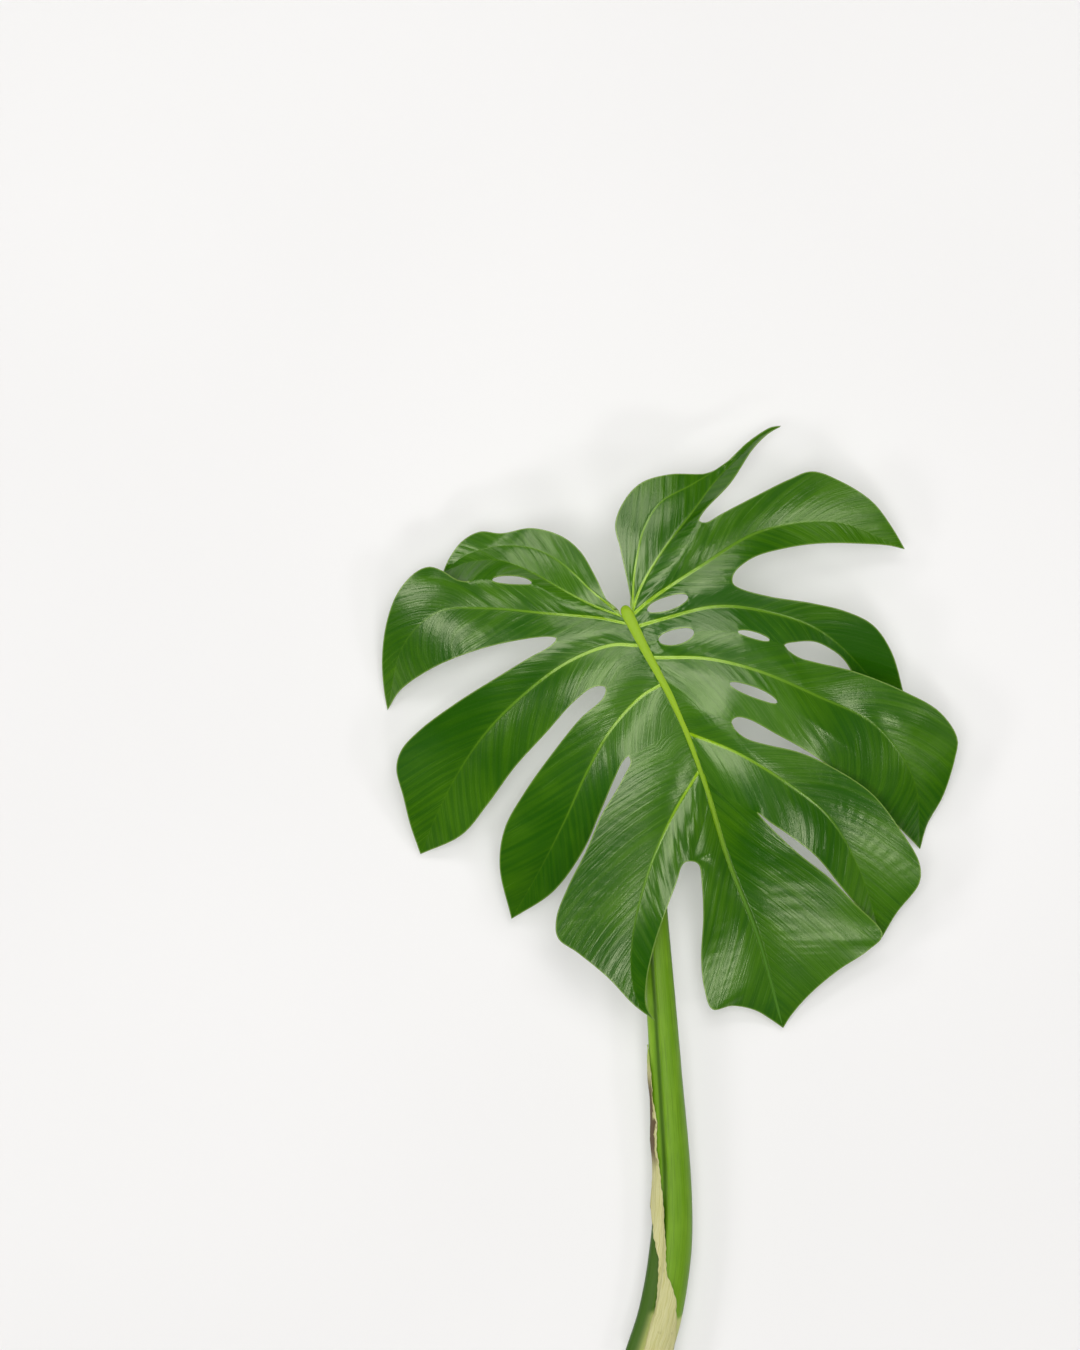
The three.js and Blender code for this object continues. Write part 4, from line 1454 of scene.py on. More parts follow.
    def edge_line(
        self, points: np.ndarray, own: np.ndarray, other: np.ndarray, cleft: Cleft | None, offset: float,
        leaves: float,
    ) -> Line:
        """Makes the line along the edge of a lobe.

        Args:
            points: The edge in plan.
            own: Heights along the lobe's vein.
            other: Heights along the vein across the cleft.
            cleft: The cleft, or None for the margin beside the stalk.
            offset: How much higher than the vein the free edge lies.
            leaves: Where the line leaves the midrib.

        Returns:
            The line, whose heights both lobes share up to the sinus.
        """
        seam_rows = cleft.steps * self.fine if cleft else 0
        row = np.arange(self.rows + 1)
        grown = smoothstep(row / self.rows, 0.0, self.quilt_grows)
        shared = (own + other) / 2 + self.quilt_height * grown
        past = np.clip((row - seam_rows) / (self.rows - seam_rows), 0.0, 1.0)
        parted = lerp(shared[seam_rows] - own[seam_rows], offset, smoothstep(past, 0.0, self.edge_settles))
        heights = np.where(row <= seam_rows, shared, own + parted * (1 - past**3))
        return Line(points, self.eased(heights, leaves), leaves, points, seam_rows)

    def inner_line(self, side: Side, lobe: Lobe, inner: InnerLine, plan: LobePlan, other: np.ndarray) -> Line:
        """Makes a line inside a lobe.

        Args:
            side: The side that the lobe is on.
            lobe: The lobe.
            inner: The inner line.
            plan: The lobe's plan.
            other: The lobe's edge on the inner line's side, which the rows keep pace with.

        Returns:
            The line, which goes round its holes.
        """
        through = SmoothCurve([self.midrib_point(inner.leaves, side.hand), *inner.through, lobe.tip])
        if inner.holes:
            distances = self.spaced(through.length, self.steps, inner.holes)
        else:
            shares = (passed_shares(other) + passed_shares(plan.vein)) / 2
            distances = shares * through.length
        reach = side.hand * self.hole_reach(inner.holes, distances)
        near, far = through.sideways(distances, reach), through.sideways(distances, -reach)
        heights = self.eased(plan.heights, inner.leaves)
        return Line(near, heights, inner.leaves, far, self.rows, inner.vein_width)

    def lobe_lines(self, side: Side, plans: list[LobePlan], index: int) -> list[Line]:
        """Makes the lines of a lobe.

        Args:
            side: The side that the lobe is on.
            plans: The plans of the side's lobes.
            index: The lobe's number.

        Returns:
            Its lines, from the base's side to the apex's side.
        """
        lobe, plan = side.lobes[index], plans[index]
        before = side.clefts[index - 1] if index else None
        after = side.clefts[index]
        previous = plans[index - 1].heights if index else plan.heights
        leaves = before.leaves if before else lobe.leaves
        lines = [self.edge_line(plan.near, plan.heights, previous, before, lobe.near, leaves)]
        if lobe.before:
            lines.append(self.inner_line(side, lobe, lobe.before, plan, plan.near))
        heights = self.eased(plan.heights, lobe.leaves)
        lines.append(Line(plan.vein, heights, lobe.leaves, plan.vein, self.rows, lobe.vein_width))
        if lobe.inner:
            lines.append(self.inner_line(side, lobe, lobe.inner, plan, plan.far))
        following = plans[index + 1].heights
        lines.append(self.edge_line(plan.far, plan.heights, following, after, lobe.far, after.leaves))
        return lines

    def to_veins(self, plan: np.ndarray, veins: list[Line]) -> tuple[np.ndarray, np.ndarray]:
        """Measures places against the nearest vein.

        Args:
            plan: The places in plan.
            veins: The lobe's veins.

        Returns:
            The distance of each place to the nearest vein, in half-widths of the vein, and the share of
            the way along that vein.
        """
        closeness = np.full(plan.shape[:-1], self.far_from_vein)
        share = np.zeros(plan.shape[:-1])
        for vein in veins:
            distance, passed = nearest_on_line(plan, vein.points)
            passed = passed / passed_distances(vein.points)[-1]
            half = self.vein_scale * vein.vein_width * (1 - passed) ** self.vein_taper + self.vein_least
            closer = distance / half < closeness
            closeness = np.where(closer, distance / half, closeness)
            share = np.where(closer, passed, share)
        return closeness, share

    def strip(
        self, first: Line, second: Line, veins: list[Line], rims: list[np.ndarray], number: float,
        tone: float,
    ) -> tuple[np.ndarray, np.ndarray, np.ndarray, np.ndarray]:
        """Fills the strip between two lines of a lobe.

        Args:
            first: The line on the base's side.
            second: The line on the apex's side.
            veins: The lobe's veins, the main one first.
            rims: The free edges of the strip, in plan.
            number: The lobe's number, which sets its pattern.
            tone: The lobe's tone.

        Returns:
            The grid's places, depths, fine relief and carried values.
        """
        share = np.linspace(0.0, 1.0, self.columns + 1)
        if first.vein_width and not second.vein_width:
            share = share**self.column_power
        elif second.vein_width and not first.vein_width:
            share = 1 - (1 - share) ** self.column_power
        share = share[None, :, None]
        start, end = first.far_points, second.points
        plan = lerp(start[:, None, :], end[:, None, :], share)
        share = share[..., 0]
        height = lerp(first.heights[:, None], second.heights[:, None], share)
        gap, along = nearest_on_line(plan, veins[0].points)
        width = np.linalg.norm(end - start, axis=1)[:, None]
        middle = 4 * share * (1 - share)
        height = height + self.puff * middle * smoothstep(width, *self.puff_widths)
        height = height + self.waves(first, second, share, along, number)
        height = height + self.sway(plan, height)
        turn = 2 * np.pi * (along - self.furrow_slant * gap) / self.furrow_spacing
        wander = self.furrow_wander * np.sin(self.furrow_wander_rate * turn + number)
        relief = self.furrow * middle * np.sin(turn + wander)
        closeness, vein_share = self.to_veins(plan, veins)
        to_rim = np.full(gap.shape, self.far_from_rim)
        for rim in rims:
            if len(rim) > 1:
                to_rim = np.minimum(to_rim, nearest_on_line(plan, rim)[0])
        raised = np.exp(-((closeness / self.groove_reach) ** 2)) * (1 - vein_share) ** self.groove_fade
        filled = self.groove_floor * np.exp(-((closeness / self.groove_floor) ** 2))
        relief = relief - self.vein_groove * raised * (1 - filled)
        relief = relief - self.dip(first, second, share, width, gap) * (1 - along / along.max())
        from_midrib = np.arange(self.rows + 1)[:, None] / self.rows
        raised = raised * smoothstep(from_midrib, 0.0, self.ridge_start)
        depth = lerp(self.rim_thickness, self.thickness, smoothstep(to_rim, 0.0, self.rim_width))
        depth = depth + self.vein_ridge * raised
        flat = np.zeros(gap.shape)
        values = [closeness, vein_share, flat + tone, along, gap, flat + number, to_rim, flat, flat]
        return np.dstack([plan, height]), depth, relief, np.dstack(values)

    def dip(
        self, first: Line, second: Line, share: np.ndarray, width: np.ndarray, gap: np.ndarray
    ) -> np.ndarray:
        """Returns how deep the wide dip round the main vein is, which ends before the midrib and the seams.

        Args:
            first: The strip's line on the base's side.
            second: Its line on the apex's side.
            share: How far each place is from the first line to the second.
            width: The strip's width at each row.
            gap: The distance of each place to the main vein.

        Returns:
            The depth, in millimetres.
        """
        row = np.arange(self.rows + 1)[:, None] / self.rows
        depth = self.trough * np.exp(-((gap / self.trough_reach) ** 2))
        depth = depth * smoothstep(row, 0.0, self.trough_start)
        for line, reach in ((first, share * width), (second, (1 - share) * width)):
            if not line.vein_width:
                depth = depth * (1 - np.exp(-((reach / self.trough_seam) ** 2)))
        return depth

    def waves(
        self, first: Line, second: Line, share: np.ndarray, along: np.ndarray, number: float
    ) -> np.ndarray:
        """Shapes the waves along the free edges of a strip, which die out towards the vein.

        Args:
            first: The strip's line on the base's side.
            second: Its line on the apex's side.
            share: How far each place is from the first line to the second.
            along: How far each place is along the main vein.
            number: The lobe's number, which sets its pattern.

        Returns:
            How far the waves raise each place.
        """
        row = np.arange(self.rows + 1)[:, None]
        total = np.zeros(along.shape)
        for line, reach in ((first, 1 - share), (second, share)):
            if line.free_from >= self.rows:
                continue
            past = np.clip((row - line.free_from) / (self.rows - line.free_from), 0.0, 1.0)
            swell = smoothstep(past, *self.ripple_grows) * (1 - smoothstep(past, *self.ripple_dies))
            turn = 2 * np.pi * along / self.ripple_length + 2.1 * number
            wave = 0.5 + 0.5 * np.sin(turn + 0.8 * np.sin(0.7 * turn))
            total = total + self.ripple * wave * swell * reach**2
        return total

    def sway(self, plan: np.ndarray, height: np.ndarray) -> np.ndarray:
        """Shapes the slow dips and swells of the whole blade, which die out at the floor and the base.

        Args:
            plan: The places in plan.
            height: Their heights.

        Returns:
            How far each place is raised.
        """
        x, y = plan[..., 0], plan[..., 1]
        slow = np.sin(x / 23.0 + 1.3) * np.sin(y / 29.0 + 0.4) + 0.5 * np.sin(x / 11.0 + y / 17.0)
        off_floor, off_base = smoothstep(height, 4.0, 24.0), smoothstep(np.hypot(x, y), 10.0, 60.0)
        return self.sway_height * slow * off_floor * off_base

    def rims_of(self, first: Line, second: Line) -> list[np.ndarray]:
        """Finds the free edges of a strip in plan, the rims of its inner holes included.

        Args:
            first: The strip's line on the base's side.
            second: Its line on the apex's side.

        Returns:
            The stretches of free edge.
        """
        rims = []
        for line, points in ((first, first.far_points), (second, second.points)):
            rims.append(points[line.free_from :])
            if line.far_points is not line.points:
                away = np.linalg.norm(line.points - line.far_points, axis=1) > TINY
                rims.append(points[away])
        return rims

    def seam_holes(self, cleft: Cleft, points: np.ndarray, side: Side) -> list[np.ndarray]:
        """Finds the rims of the holes on a seam.

        Args:
            cleft: The cleft that the seam runs to.
            points: One edge of the seam.
            side: The side that the cleft is on.

        Returns:
            The stretches of that edge beside the holes.
        """
        through = SmoothCurve([self.midrib_point(cleft.leaves, side.hand), *cleft.seam, cleft.sinus])
        distances = self.spaced(through.length, cleft.steps, cleft.holes)
        reach = self.hole_reach(cleft.holes, distances)
        rims = []
        for hole in cleft.holes:
            inside = (np.abs(distances - hole.centre) < hole.length / 2) & (reach > 0)
            rims.append(points[: len(distances)][inside])
        return rims

    def fill_side(self, sheet: Sheet, side: Side) -> list[tuple]:
        """Builds one side's lobes.

        Args:
            sheet: The sheet that takes them.
            side: The side.

        Returns:
            The places along the midrib's border, as (number, distance, values).
        """
        border: list[tuple] = []
        plans = self.lay_out(side)
        for index, lobe in enumerate(side.lobes):
            lines = self.lobe_lines(side, plans, index)
            veins = sorted((line for line in lines if line.vein_width), key=lambda line: -line.vein_width)
            number = index + 1 + (10 if side.hand > 0 else 0)
            for first, second in zip(lines, lines[1:]):
                rims = self.rims_of(first, second)
                if index and first is lines[0]:
                    rims += self.seam_holes(side.clefts[index - 1], first.points, side)
                if second is lines[-1]:
                    rims += self.seam_holes(side.clefts[index], second.points, side)
                places, depths, relief, values = self.strip(first, second, veins, rims, number, lobe.tone)
                numbers = sheet.grid(places, depths, relief, values)
                shares = np.linspace(0.0, 1.0, self.columns + 1)
                for spot, share, value in zip(numbers[0], shares, values[0]):
                    self.keep(border, int(spot), lerp(first.leaves, second.leaves, share), value)
        self.fill_terminal(sheet, side, plans, border)
        return border

    def fill_terminal(self, sheet: Sheet, side: Side, plans: list[LobePlan], border: list[tuple]) -> None:
        """Builds one half of the terminal lobe and adds its places to the midrib's border.

        Args:
            sheet: The sheet that takes it.
            side: The half's side.
            plans: The plans of the side's lobes.
            border: The places along the midrib's border so far.
        """
        plan, leaves = plans[-1], side.clefts[-1].leaves
        outer = self.edge_line(
            plan.near, plan.heights, plans[-2].heights, side.clefts[-1], -self.terminal_fall, leaves
        )
        heights = self.eased(plan.heights, leaves)
        inner = Line(plan.vein, heights, leaves, plan.vein, self.rows, self.terminal_vein)
        number = 6 + (10 if side.hand > 0 else 0)
        rims = self.rims_of(outer, inner)
        places, depths, relief, values = self.strip(outer, inner, [inner], rims, number, self.terminal_tone)
        numbers = sheet.grid(places, depths, relief, values)
        for row in range(self.rows + 1):
            self.keep(border, int(numbers[row, -1]), float(plan.distances[row]), values[row, -1])

    @staticmethod
    def keep(border: list[tuple], number: int, distance: float, values: np.ndarray) -> None:
        """Adds a place to the midrib's border, unless it is the last one again."""
        if not border or border[-1][0] != number:
            border.append((number, distance, values))

    def fill_midrib(self, sheet: Sheet, borders: list[list[tuple]]) -> None:
        """Builds the midrib between the two sides, crowned above and round below, with a round nose.

        Args:
            sheet: The sheet that takes it.
            borders: The places along its left and its right border.
        """
        quarter = np.linspace(math.pi / 2, 0.0, self.nose_rows + 1)
        body = np.linspace(0.0, self.midrib.length - self.midrib_stops, self.rib_rows + 1)
        down = np.concatenate([-self.nose * np.sin(quarter)[:-1], body])
        across = np.linspace(-1.0, 1.0, self.rib_columns + 1)
        inside = np.clip(1 + np.minimum(down, 0.0) / self.nose, 0.0, 1.0)
        rounded = np.sqrt(np.clip(1 - (1 - inside) ** 2, 0.0, 1.0))
        narrowed = np.maximum(rounded, self.nose_narrowest)
        reach = self.midrib_half_width(down) * self.rib_share * narrowed
        past_base = self.midrib.direction(0.0) * np.minimum(down, 0.0)[:, None]
        centre = self.midrib.at(np.maximum(down, 0.0)) + past_base
        heading = self.midrib.direction(np.maximum(down, 0.0))
        left = np.stack([-heading[:, 1], heading[:, 0]], axis=-1)
        plan = centre[:, None, :] + left[:, None, :] * (reach[:, None] * across)[..., None]
        sunk = np.exp(-np.maximum(down, 0.0) / self.crown_sinks_over)
        crown = self.midrib_crown * lerp(self.crown_left, 1.0, sunk)
        height = self.midrib_height(down)[:, None] + crown[:, None] * (1 - across**2) ** self.crown_power
        height = height - (self.nose_drop * (1 - rounded))[:, None]
        belly = np.sqrt(1 - self.rib_belly * across**2)
        depth = self.thickness + (self.rib_depth(down) * rounded)[:, None] * belly
        flat = np.zeros(height.shape)
        distance = flat + np.maximum(down, 0.0)[:, None]
        closeness, to_rim = flat + self.far_from_vein, flat + self.far_from_rim
        values = np.dstack([closeness, flat, flat, flat, flat, flat, to_rim, flat + 1, distance])
        numbers = sheet.grid(np.dstack([plan, height]), depth, flat, values, plumb=True)
        own = slice(self.nose_rows, None)
        for border, column in zip(borders, (0, -1)):
            line = [
                (int(number), float(at), value)
                for number, at, value in zip(numbers[own, column], down[own], values[own, column])
            ]
            rim = [(number, at, self.midrib_side(value, at)) for number, at, value in border]
            sheet.stitch(rim, line)

    @staticmethod
    def midrib_side(values: np.ndarray, distance: float) -> np.ndarray:
        """Changes a border place's values to those that the midrib's own faces carry.

        Args:
            values: The values of the lamina there.
            distance: How far down the midrib the place is.

        Returns:
            The changed values.
        """
        beside = values.copy()
        beside[8] = distance
        return beside

    def build(self) -> bpy.types.Object:
        """Builds the blade, dresses it and ties it to the frame.

        Returns:
            The piece.
        """
        sheet = Sheet()
        left = self.fill_side(sheet, LEFT_SIDE)
        right = self.fill_side(sheet, RIGHT_SIDE)
        self.fill_midrib(sheet, [left, right])
        tips = np.array([*(lobe.tip for side in (LEFT_SIDE, RIGHT_SIDE) for lobe in side.lobes), MIDRIB[-1]])
        piece = sheet.solid("blade", bulge=0.3, rounds=self.fairing, tips=tips)
        place_piece(piece, "leaf_blade", [UpperFace().material(), Underside().material()])
        return piece


# ---- Stalk and sheath -----------------------------------------------------------------------------


@dataclass(frozen=True)
class Station:
    """A place on the stalk's centre line, with its half-width and half-height."""

    at: tuple[float, float, float]
    across: float
    deep: float


STALK = (
    Station((12, -446, 12), 13.5, 11.5),
    Station((20, -419, 13), 13, 11.5),
    Station((26, -380, 14.5), 12.6, 11.5),
    Station((27, -344, 16), 11.5, 11),
    Station((23, -275, 20), 9.6, 9.4),
    Station((16, -179, 25.5), 8, 7.8),
    Station((10, -90, 30), 7, 6.8),
    Station((6, -45, 32.5), 6.4, 6.2),
    Station((4, -22, 34.5), 6.4, 6.2),
    Station((3, -10, 39), 6.8, 6.4),
    Station((3, -5, 47), 6.4, 6),
    Station((3, -5, 54.1), 5.8, 5.4),
)


@dataclass
class Stalk:
    """The stalk: a tapering stem with a groove along it, which turns up into the midrib.

    Angles are in degrees, 0 to the right, 90 up and 180 to the left. Depths and heights across the skin
    are shares of the radius.
    """

    rings: int = 300
    sides: int = 96
    groove_angle: float = 125.0
    groove_spread: float = 20.0
    groove_depth: float = 0.16
    groove_base_depth: float = 0.30
    groove_evens: float = 0.4  # share of the stalk after which the groove is even
    groove_ends: float = 0.2  # share of the stalk over which it dies out below the head
    ridge_angle: float = 103.0
    ridge_spread: float = 5.5
    ridge_height: float = 0.055
    wing_angle: float = 168.0
    wing_spread: float = 20.0
    wing_height: float = 0.05
    wing_fades: Range = (0.05, 0.25)
    # painted shade: the groove, where shade falls, and a line along the right side, which turns from the
    # light, darken the skin
    shade_angle: float = 121.0
    shade_spread: float = 11.0
    line_angle: float = 2.0
    line_spread: float = 16.0
    line_shade: float = 0.5
    head_rise: float = 2.6  # how far the head runs up into the midrib
    head_flare: float = 1.2
    flare_start: float = 0.975
    cut_shares: tuple[float, ...] = (0.06, 0.22, 0.42, 0.62, 0.82, 0.94, 1.0)  # radii of the cut face
    cut_dish: float = 0.8
    centre: SmoothCurve = field(default_factory=lambda: SmoothCurve([station.at for station in STALK]))

    def size(self, name: str, share: np.ndarray) -> np.ndarray:
        """Returns the named half-size at shares of the centre line."""
        sizes = [getattr(station, name) for station in STALK]
        return np.interp(share * self.centre.length, self.centre.knots_passed, sizes)

    def frame_at(self, share: np.ndarray) -> tuple[np.ndarray, np.ndarray, np.ndarray]:
        """Finds how the stalk lies.

        Args:
            share: Shares of the centre line.

        Returns:
            The centre there, the direction to the right and the direction upwards.
        """
        distance = share * self.centre.length
        along = self.centre.direction(distance)
        side = np.array([1.0, 0.0, 0.0]) - along * along[..., :1]
        side = side / np.linalg.norm(side, axis=-1, keepdims=True)
        return self.centre.at(distance), side, np.cross(side, along)

    def relief(self, share: np.ndarray, degrees: np.ndarray) -> np.ndarray:
        """Shapes the groove, the ridge beside it and the wing at the foot.

        Args:
            share: Shares of the centre line.
            degrees: Angles round it.

        Returns:
            How much they change the radius, as a share of it.
        """
        evened = smoothstep(share, 0.0, self.groove_evens)
        deep = lerp(self.groove_base_depth, self.groove_depth, evened)
        notch = deep * np.exp(-(((degrees - self.groove_angle) / self.groove_spread) ** 2))
        ridge = self.ridge_height * np.exp(-(((degrees - self.ridge_angle) / self.ridge_spread) ** 2))
        wing = self.wing_height * np.exp(-(((degrees - self.wing_angle) / self.wing_spread) ** 2))
        wing = wing * (1 - smoothstep(share, *self.wing_fades))
        return (ridge - notch) * smoothstep(1 - share, 0.0, self.groove_ends) + wing

    def surface(self, share: Any, degrees: Any, out: Any = 0.0) -> np.ndarray:
        """Returns places round the stalk.

        Args:
            share: Shares of the centre line.
            degrees: Angles round it.
            out: Distance beyond the skin, in millimetres.

        Returns:
            The places, in millimetres.
        """
        share, degrees = np.broadcast_arrays(np.asarray(share, float), np.asarray(degrees, float))
        centre, side, up = self.frame_at(share)
        scale = 1 + self.relief(share, degrees)
        angle = np.radians(degrees)
        across = (self.size("across", share) * scale + out) * np.cos(angle)
        deep = (self.size("deep", share) * scale + out) * np.sin(angle)
        return centre + side * across[..., None] + up * deep[..., None]

    def shade(self, degrees: np.ndarray) -> np.ndarray:
        """Paints shade into the groove, where shade falls, and along the right side, which turns away from
        the light.

        Args:
            degrees: Angles round the stalk.

        Returns:
            How much painted shade the skin gets there, from 0.
        """
        groove = np.exp(-(((degrees - self.shade_angle) / self.shade_spread) ** 2))
        turned = (degrees + 180) % 360 - 180
        return groove + self.line_shade * np.exp(-(((turned - self.line_angle) / self.line_spread) ** 2))

    def build(self) -> bpy.types.Object:
        """Builds the stalk, dresses it and ties it to the frame.

        Returns:
            The piece.
        """
        share = np.linspace(0.0, 1.0, self.rings + 1)
        degrees = np.arange(self.sides) * 360.0 / self.sides
        rings = self.surface(share[:, None], degrees[None, :])
        flare = 1 + (self.head_flare - 1) * smoothstep(share, self.flare_start, 1.0)
        centre = self.frame_at(share)[0][:, None, :]
        rings = centre + (rings - centre) * flare[:, None, None]
        head = rings[-1] + np.array([0.0, 0.0, self.head_rise])
        rings = np.concatenate([self.cut_end(rings[0]), rings[1:], head[None]])
        rows = len(rings)
        along = np.concatenate([np.zeros(rows - len(share)), share])
        count = rows * self.sides
        faces, values = [], []
        # painted shade round the stalk, which the skin's finish reads
        shade = self.shade(degrees)
        for row in range(1, rows):
            for k in range(self.sides):
                after = (k + 1) % self.sides
                low, high = (row - 1) * self.sides, row * self.sides
                faces.append((low + k, high + k, high + after, low + after))
                turns = (degrees[k] / 360.0, (k + 1) / self.sides)
                spots = ((row - 1, 0), (row, 0), (row, 1), (row - 1, 1))
                values += [(along[r], turns[s], shade[(k + s) % self.sides]) for r, s in spots]
        faces.append(tuple(range(self.sides)))
        faces.append(tuple(range(count - 1, count - self.sides - 1, -1)))
        values += [(0.0, 0.0, 0.0)] * (2 * self.sides)
        mesh = bpy.data.meshes.new("stalk")
        mesh.from_pydata(to_row(rings.reshape(-1, 3)).tolist(), [], faces)
        carry(mesh, np.array(values), (Carried.ROUND,))
        slots = np.zeros(len(faces), np.int32)
        edge = (len(self.cut_shares) - 1) * self.sides
        slots[:edge] = 1
        slots[-2] = 1
        mesh.polygons.foreach_set("material_index", slots)
        rim = {frozenset((edge + k, edge + (k + 1) % self.sides)) for k in range(self.sides)}
        sharpen(mesh, rim)
        piece = show("stalk", mesh)
        place_piece(piece, "petiole", [StalkSkin().material(), CutFace().material()])
        return piece

    def cut_end(self, rim: np.ndarray) -> np.ndarray:
        """Shapes the cut face.

        Args:
            rim: The stalk's first ring.

        Returns:
            The rings of the cut face, from near its middle out to its rim.
        """
        centre = rim.mean(axis=0)
        shares = np.array(self.cut_shares)
        dish = self.cut_dish * (1 - shares**2)
        inward = self.centre.direction(0.0)
        return centre + (rim - centre) * shares[:, None, None] + inward * dish[:, None, None]


@dataclass
class SheathEdge:
    """The sheath's first and last edge round the stalk, in degrees, at a share of its length."""

    share: float
    first: float
    last: float


@dataclass
class Sheath:
    """The dried sheath: a thin ragged membrane that clasps the lower part of the stalk."""

    stalk: Stalk
    head: float = 0.42
    gap: float = 0.35
    thickness: float = 0.35
    lift: float = 1.1  # how far its free edges curl away from the stalk
    curl_rate: float = 31.0
    curl_slant: float = 5.0
    pleat: float = 0.12  # height of the fine pleats
    pleat_rate: float = 0.55
    pleat_slant: float = 3.0
    rows: int = 220
    columns: int = 26
    edges: tuple[SheathEdge, ...] = (
        SheathEdge(0.0, 20, 110),
        SheathEdge(0.15, 45, 113),
        SheathEdge(0.3, 97, 127),
        SheathEdge(0.43, 116, 160),
        SheathEdge(0.6, 136, 184),
        SheathEdge(0.85, 146, 190),
        SheathEdge(1.0, 168, 178),
    )

    def edge(self, name: str, share: np.ndarray) -> np.ndarray:
        """Returns the angle of the first or the last edge at shares of the sheath's length."""
        curve = SmoothCurve([(edge.share, getattr(edge, name) / 100.0) for edge in self.edges])
        return np.interp(share, curve.samples[:, 0], curve.samples[:, 1]) * 100.0

    @staticmethod
    def ragged(share: np.ndarray, seed: float) -> np.ndarray:
        """Returns the small tears of an edge, in degrees."""
        tears = np.sin(share * 47.0 + seed) + 0.6 * np.sin(share * 113.0 + 2.3 * seed)
        return 1.6 * tears + 0.8 * np.sin(share * 251.0 + 4.1 * seed)

    def shell(self, out: float) -> np.ndarray:
        """Shapes one face of the membrane.

        Args:
            out: Its distance beyond the stalk's skin.

        Returns:
            A grid of places, from the foot to the head and from the first edge to the last.
        """
        share = np.linspace(0.0, 1.0, self.rows + 1)[:, None]
        across = np.linspace(0.0, 1.0, self.columns + 1)[None, :]
        first = self.edge("first", share) + self.ragged(share, 0.7)
        last = self.edge("last", share) + self.ragged(share, 2.9)
        degrees = lerp(first, last, across)
        swing = 0.5 + 0.5 * np.sin(share * self.curl_rate + self.curl_slant * across)
        curl = self.lift * np.abs(2 * across - 1) ** 3 * swing
        pleats = self.pleat * np.sin(degrees * self.pleat_rate + self.pleat_slant * share)
        return self.stalk.surface(share * self.head, degrees, out + curl + pleats)

    def build(self) -> bpy.types.Object:
        """Builds the sheath, dresses it and ties it to the frame.

        Returns:
            The piece.
        """
        outer, inner = self.shell(self.gap + self.thickness), self.shell(self.gap)
        rows, columns = self.rows + 1, self.columns + 1
        count = rows * columns
        share = np.repeat(np.linspace(0, 1, rows), columns)
        across = np.tile(np.linspace(0, 1, columns), rows)
        first, last = self.edge("first", share), self.edge("last", share)
        carried = np.stack([share, lerp(first, last, across) / 360.0, across], axis=-1)
        carried = np.vstack([carried, carried])
        faces = []
        for row in range(1, rows):
            for column in range(1, columns):
                a, b = (row - 1) * columns + column - 1, (row - 1) * columns + column
                c, d = row * columns + column, row * columns + column - 1
                faces.append((a, d, c, b))
                faces.append((count + a, count + b, count + c, count + d))
        rim = [row * columns for row in range(rows)]
        rim += [(rows - 1) * columns + column for column in range(1, columns)]
        rim += [row * columns + columns - 1 for row in range(rows - 2, -1, -1)]
        rim += list(range(columns - 2, 0, -1))
        for k, start in enumerate(rim):
            end = rim[(k + 1) % len(rim)]
            faces.append((start, count + start, count + end, end))
        mesh = bpy.data.meshes.new("sheath")
        places = np.vstack([outer.reshape(-1, 3), inner.reshape(-1, 3)])
        mesh.from_pydata(to_row(places).tolist(), [], faces)
        corners = np.array([vertex for face in faces for vertex in face])
        carry(mesh, carried[corners], (Carried.ROUND,))
        sharpen(mesh, set())
        piece = show("sheath", mesh)
        place_piece(piece, "petiole_sheath", [DrySheath().material()])
        return piece


# ---- Studio ---------------------------------------------------------------------------------------


@dataclass(frozen=True)
class Softbox:
    """A soft rectangular light that faces the leaf: its place and size in metres, and its radiance."""

    name: str
    place: tuple[float, float, float]
    size: tuple[float, float]
    radiance: float

    def hang(self) -> None:
        """Hangs the light."""
        light = bpy.data.lights.new(self.name, "AREA")
        light.shape = "RECTANGLE"
        light.size, light.size_y = self.size
        light.energy = self.radiance * math.pi * self.size[0] * self.size[1]
        lamp = bpy.data.objects.new(self.name, light)
        lamp.location = self.place
        lamp.rotation_euler = (-Vector(self.place)).to_track_quat("-Z", "Y").to_euler()
        lamp.visible_camera = False
        bpy.context.scene.collection.objects.link(lamp)


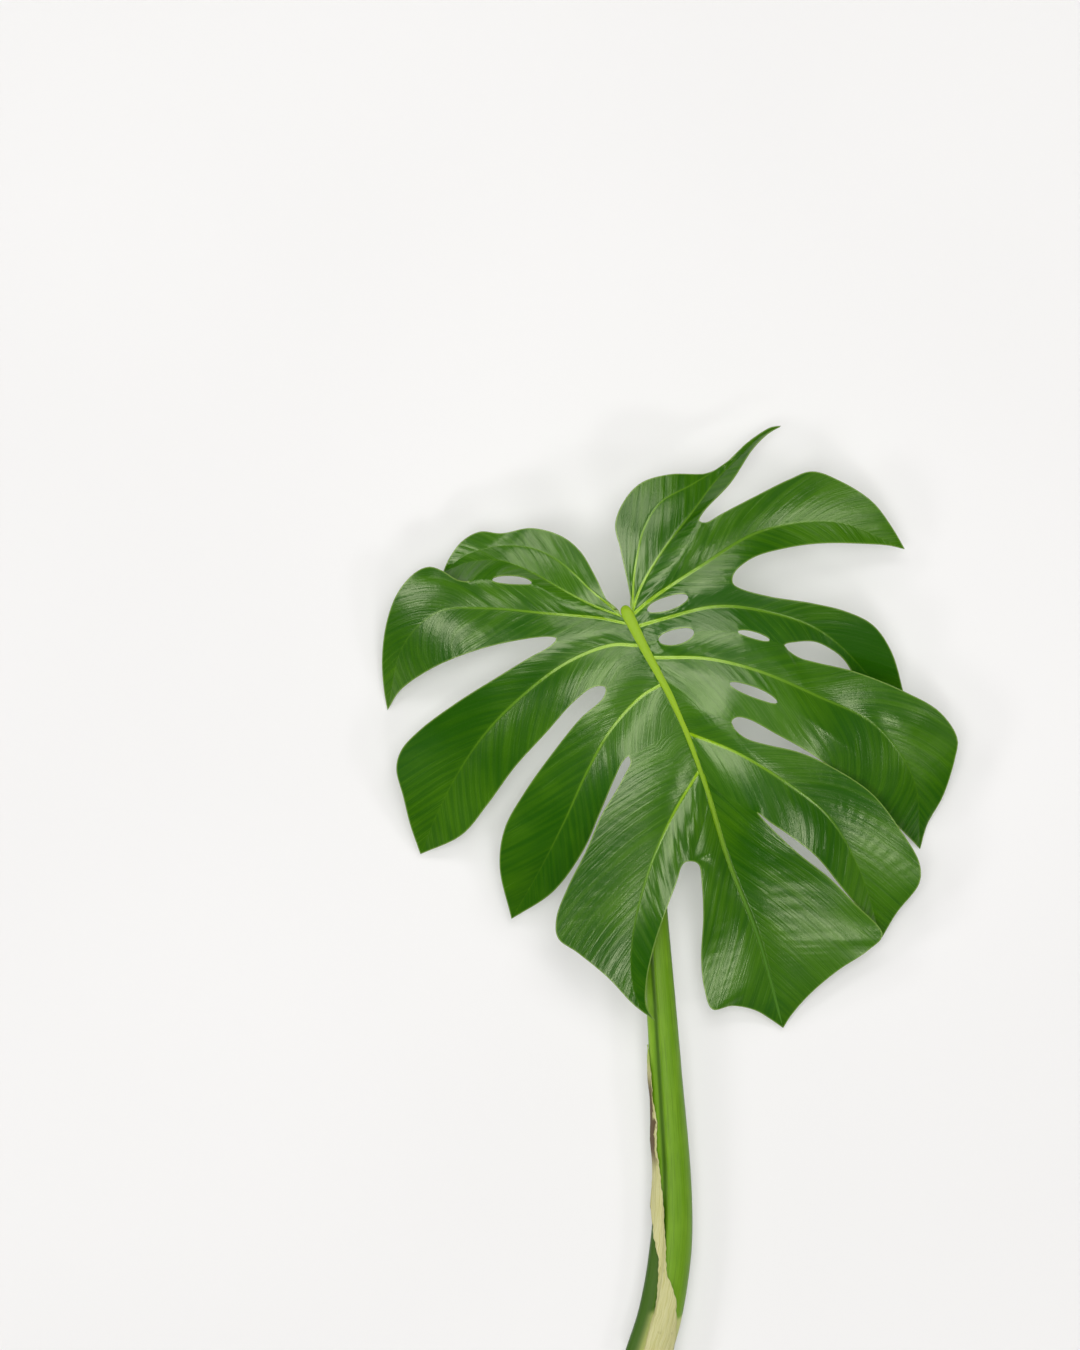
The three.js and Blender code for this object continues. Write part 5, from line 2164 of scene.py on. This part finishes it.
@dataclass
class Studio:
    """The pale floor, the soft lights and the camera that looks straight down."""

    view_centre: tuple[float, float, float] = (-52.8, -34.8, 30.0)  # what the camera looks at
    view_height: float = 0.81  # metres that the picture takes in from bottom to top
    camera_distance: float = 4.0
    sensor: float = 36.0
    floor_size: float = 40.0
    horizon: float = 0.95  # brightness of the sky at the horizon and overhead
    zenith: float = 0.08
    horizon_band: Range = (0.02, 0.3)  # upward parts of a direction between which it falls
    sky_tint: tuple[float, float, float, float] = (1.0, 0.985, 0.97, 1.0)
    softboxes: tuple[Softbox, ...] = (
        Softbox("overhead", place=(-0.1, 0.12, 2.4), size=(1.9, 0.8), radiance=7.0),
        Softbox("back", place=(0.15, 1.26, 2.05), size=(1.9, 0.45), radiance=5.2),
        Softbox("back_left", place=(-2.0, 1.6, 2.0), size=(0.9, 0.5), radiance=8.0),
        Softbox("right", place=(1.75, -0.40, 2.0), size=(0.5, 0.4), radiance=12.0),
        Softbox("low_right", place=(0.47, -1.34, 2.1), size=(0.5, 0.3), radiance=17.0),
        Softbox("left", place=(-1.95, -0.22, 1.55), size=(0.5, 0.5), radiance=11.0),
    )

    def floor(self) -> None:
        """Lays the floor."""
        half = self.floor_size / 2
        mesh = bpy.data.meshes.new("floor")
        corners = [(-half, -half, 0), (half, -half, 0), (half, half, 0), (-half, half, 0)]
        mesh.from_pydata(corners, [], [(0, 1, 2, 3)])
        mesh.materials.append(PaleFloor().material())
        show("floor", mesh)

    def sky(self) -> None:
        """Sets faint light from all round, bright only at the horizon."""
        world = bpy.data.worlds.new("studio_walls")
        world.use_nodes = True
        nodes, links = world.node_tree.nodes, world.node_tree.links
        place = nodes.new("ShaderNodeTexCoord")
        split = nodes.new("ShaderNodeSeparateXYZ")
        fall = nodes.new("ShaderNodeMapRange")
        fall.interpolation_type = "SMOOTHSTEP"
        limits = (*self.horizon_band, self.horizon, self.zenith)
        for key, value in zip(("From Min", "From Max", "To Min", "To Max"), limits):
            fall.inputs[key].default_value = value
        links.new(place.outputs["Generated"], split.inputs[0])
        links.new(split.outputs[2], fall.inputs["Value"])
        links.new(fall.outputs["Result"], nodes["Background"].inputs["Strength"])
        nodes["Background"].inputs["Color"].default_value = self.sky_tint
        bpy.context.scene.world = world

    def camera(self) -> None:
        """Hangs the camera over the leaf, looking straight down, with the notch at the top."""
        lens = bpy.data.cameras.new("camera")
        lens.sensor_width = self.sensor
        lens.lens = self.sensor * self.camera_distance / self.view_height
        lens.clip_end = 100.0
        camera = bpy.data.objects.new("camera", lens)
        camera.location = Vector(to_row(self.view_centre)) + Vector((0.0, 0.0, self.camera_distance))
        bpy.context.scene.collection.objects.link(camera)
        bpy.context.scene.camera = camera

    def build(self) -> None:
        """Sets up the studio."""
        self.camera()
        self.floor()
        self.sky()
        for softbox in self.softboxes:
            softbox.hang()
        bpy.context.scene.view_settings.view_transform = "Standard"
        log.info("studio: floor, %d softboxes, sky and camera", len(self.softboxes))


def main() -> None:
    """Builds the studio and the pieces of the leaf."""
    logging.basicConfig(level=logging.INFO, format="%(message)s")
    Studio().build()
    stalk = Stalk()
    LeafBlade().build()
    stalk.build()
    Sheath(stalk).build()


if __name__ == "__main__":
    main()
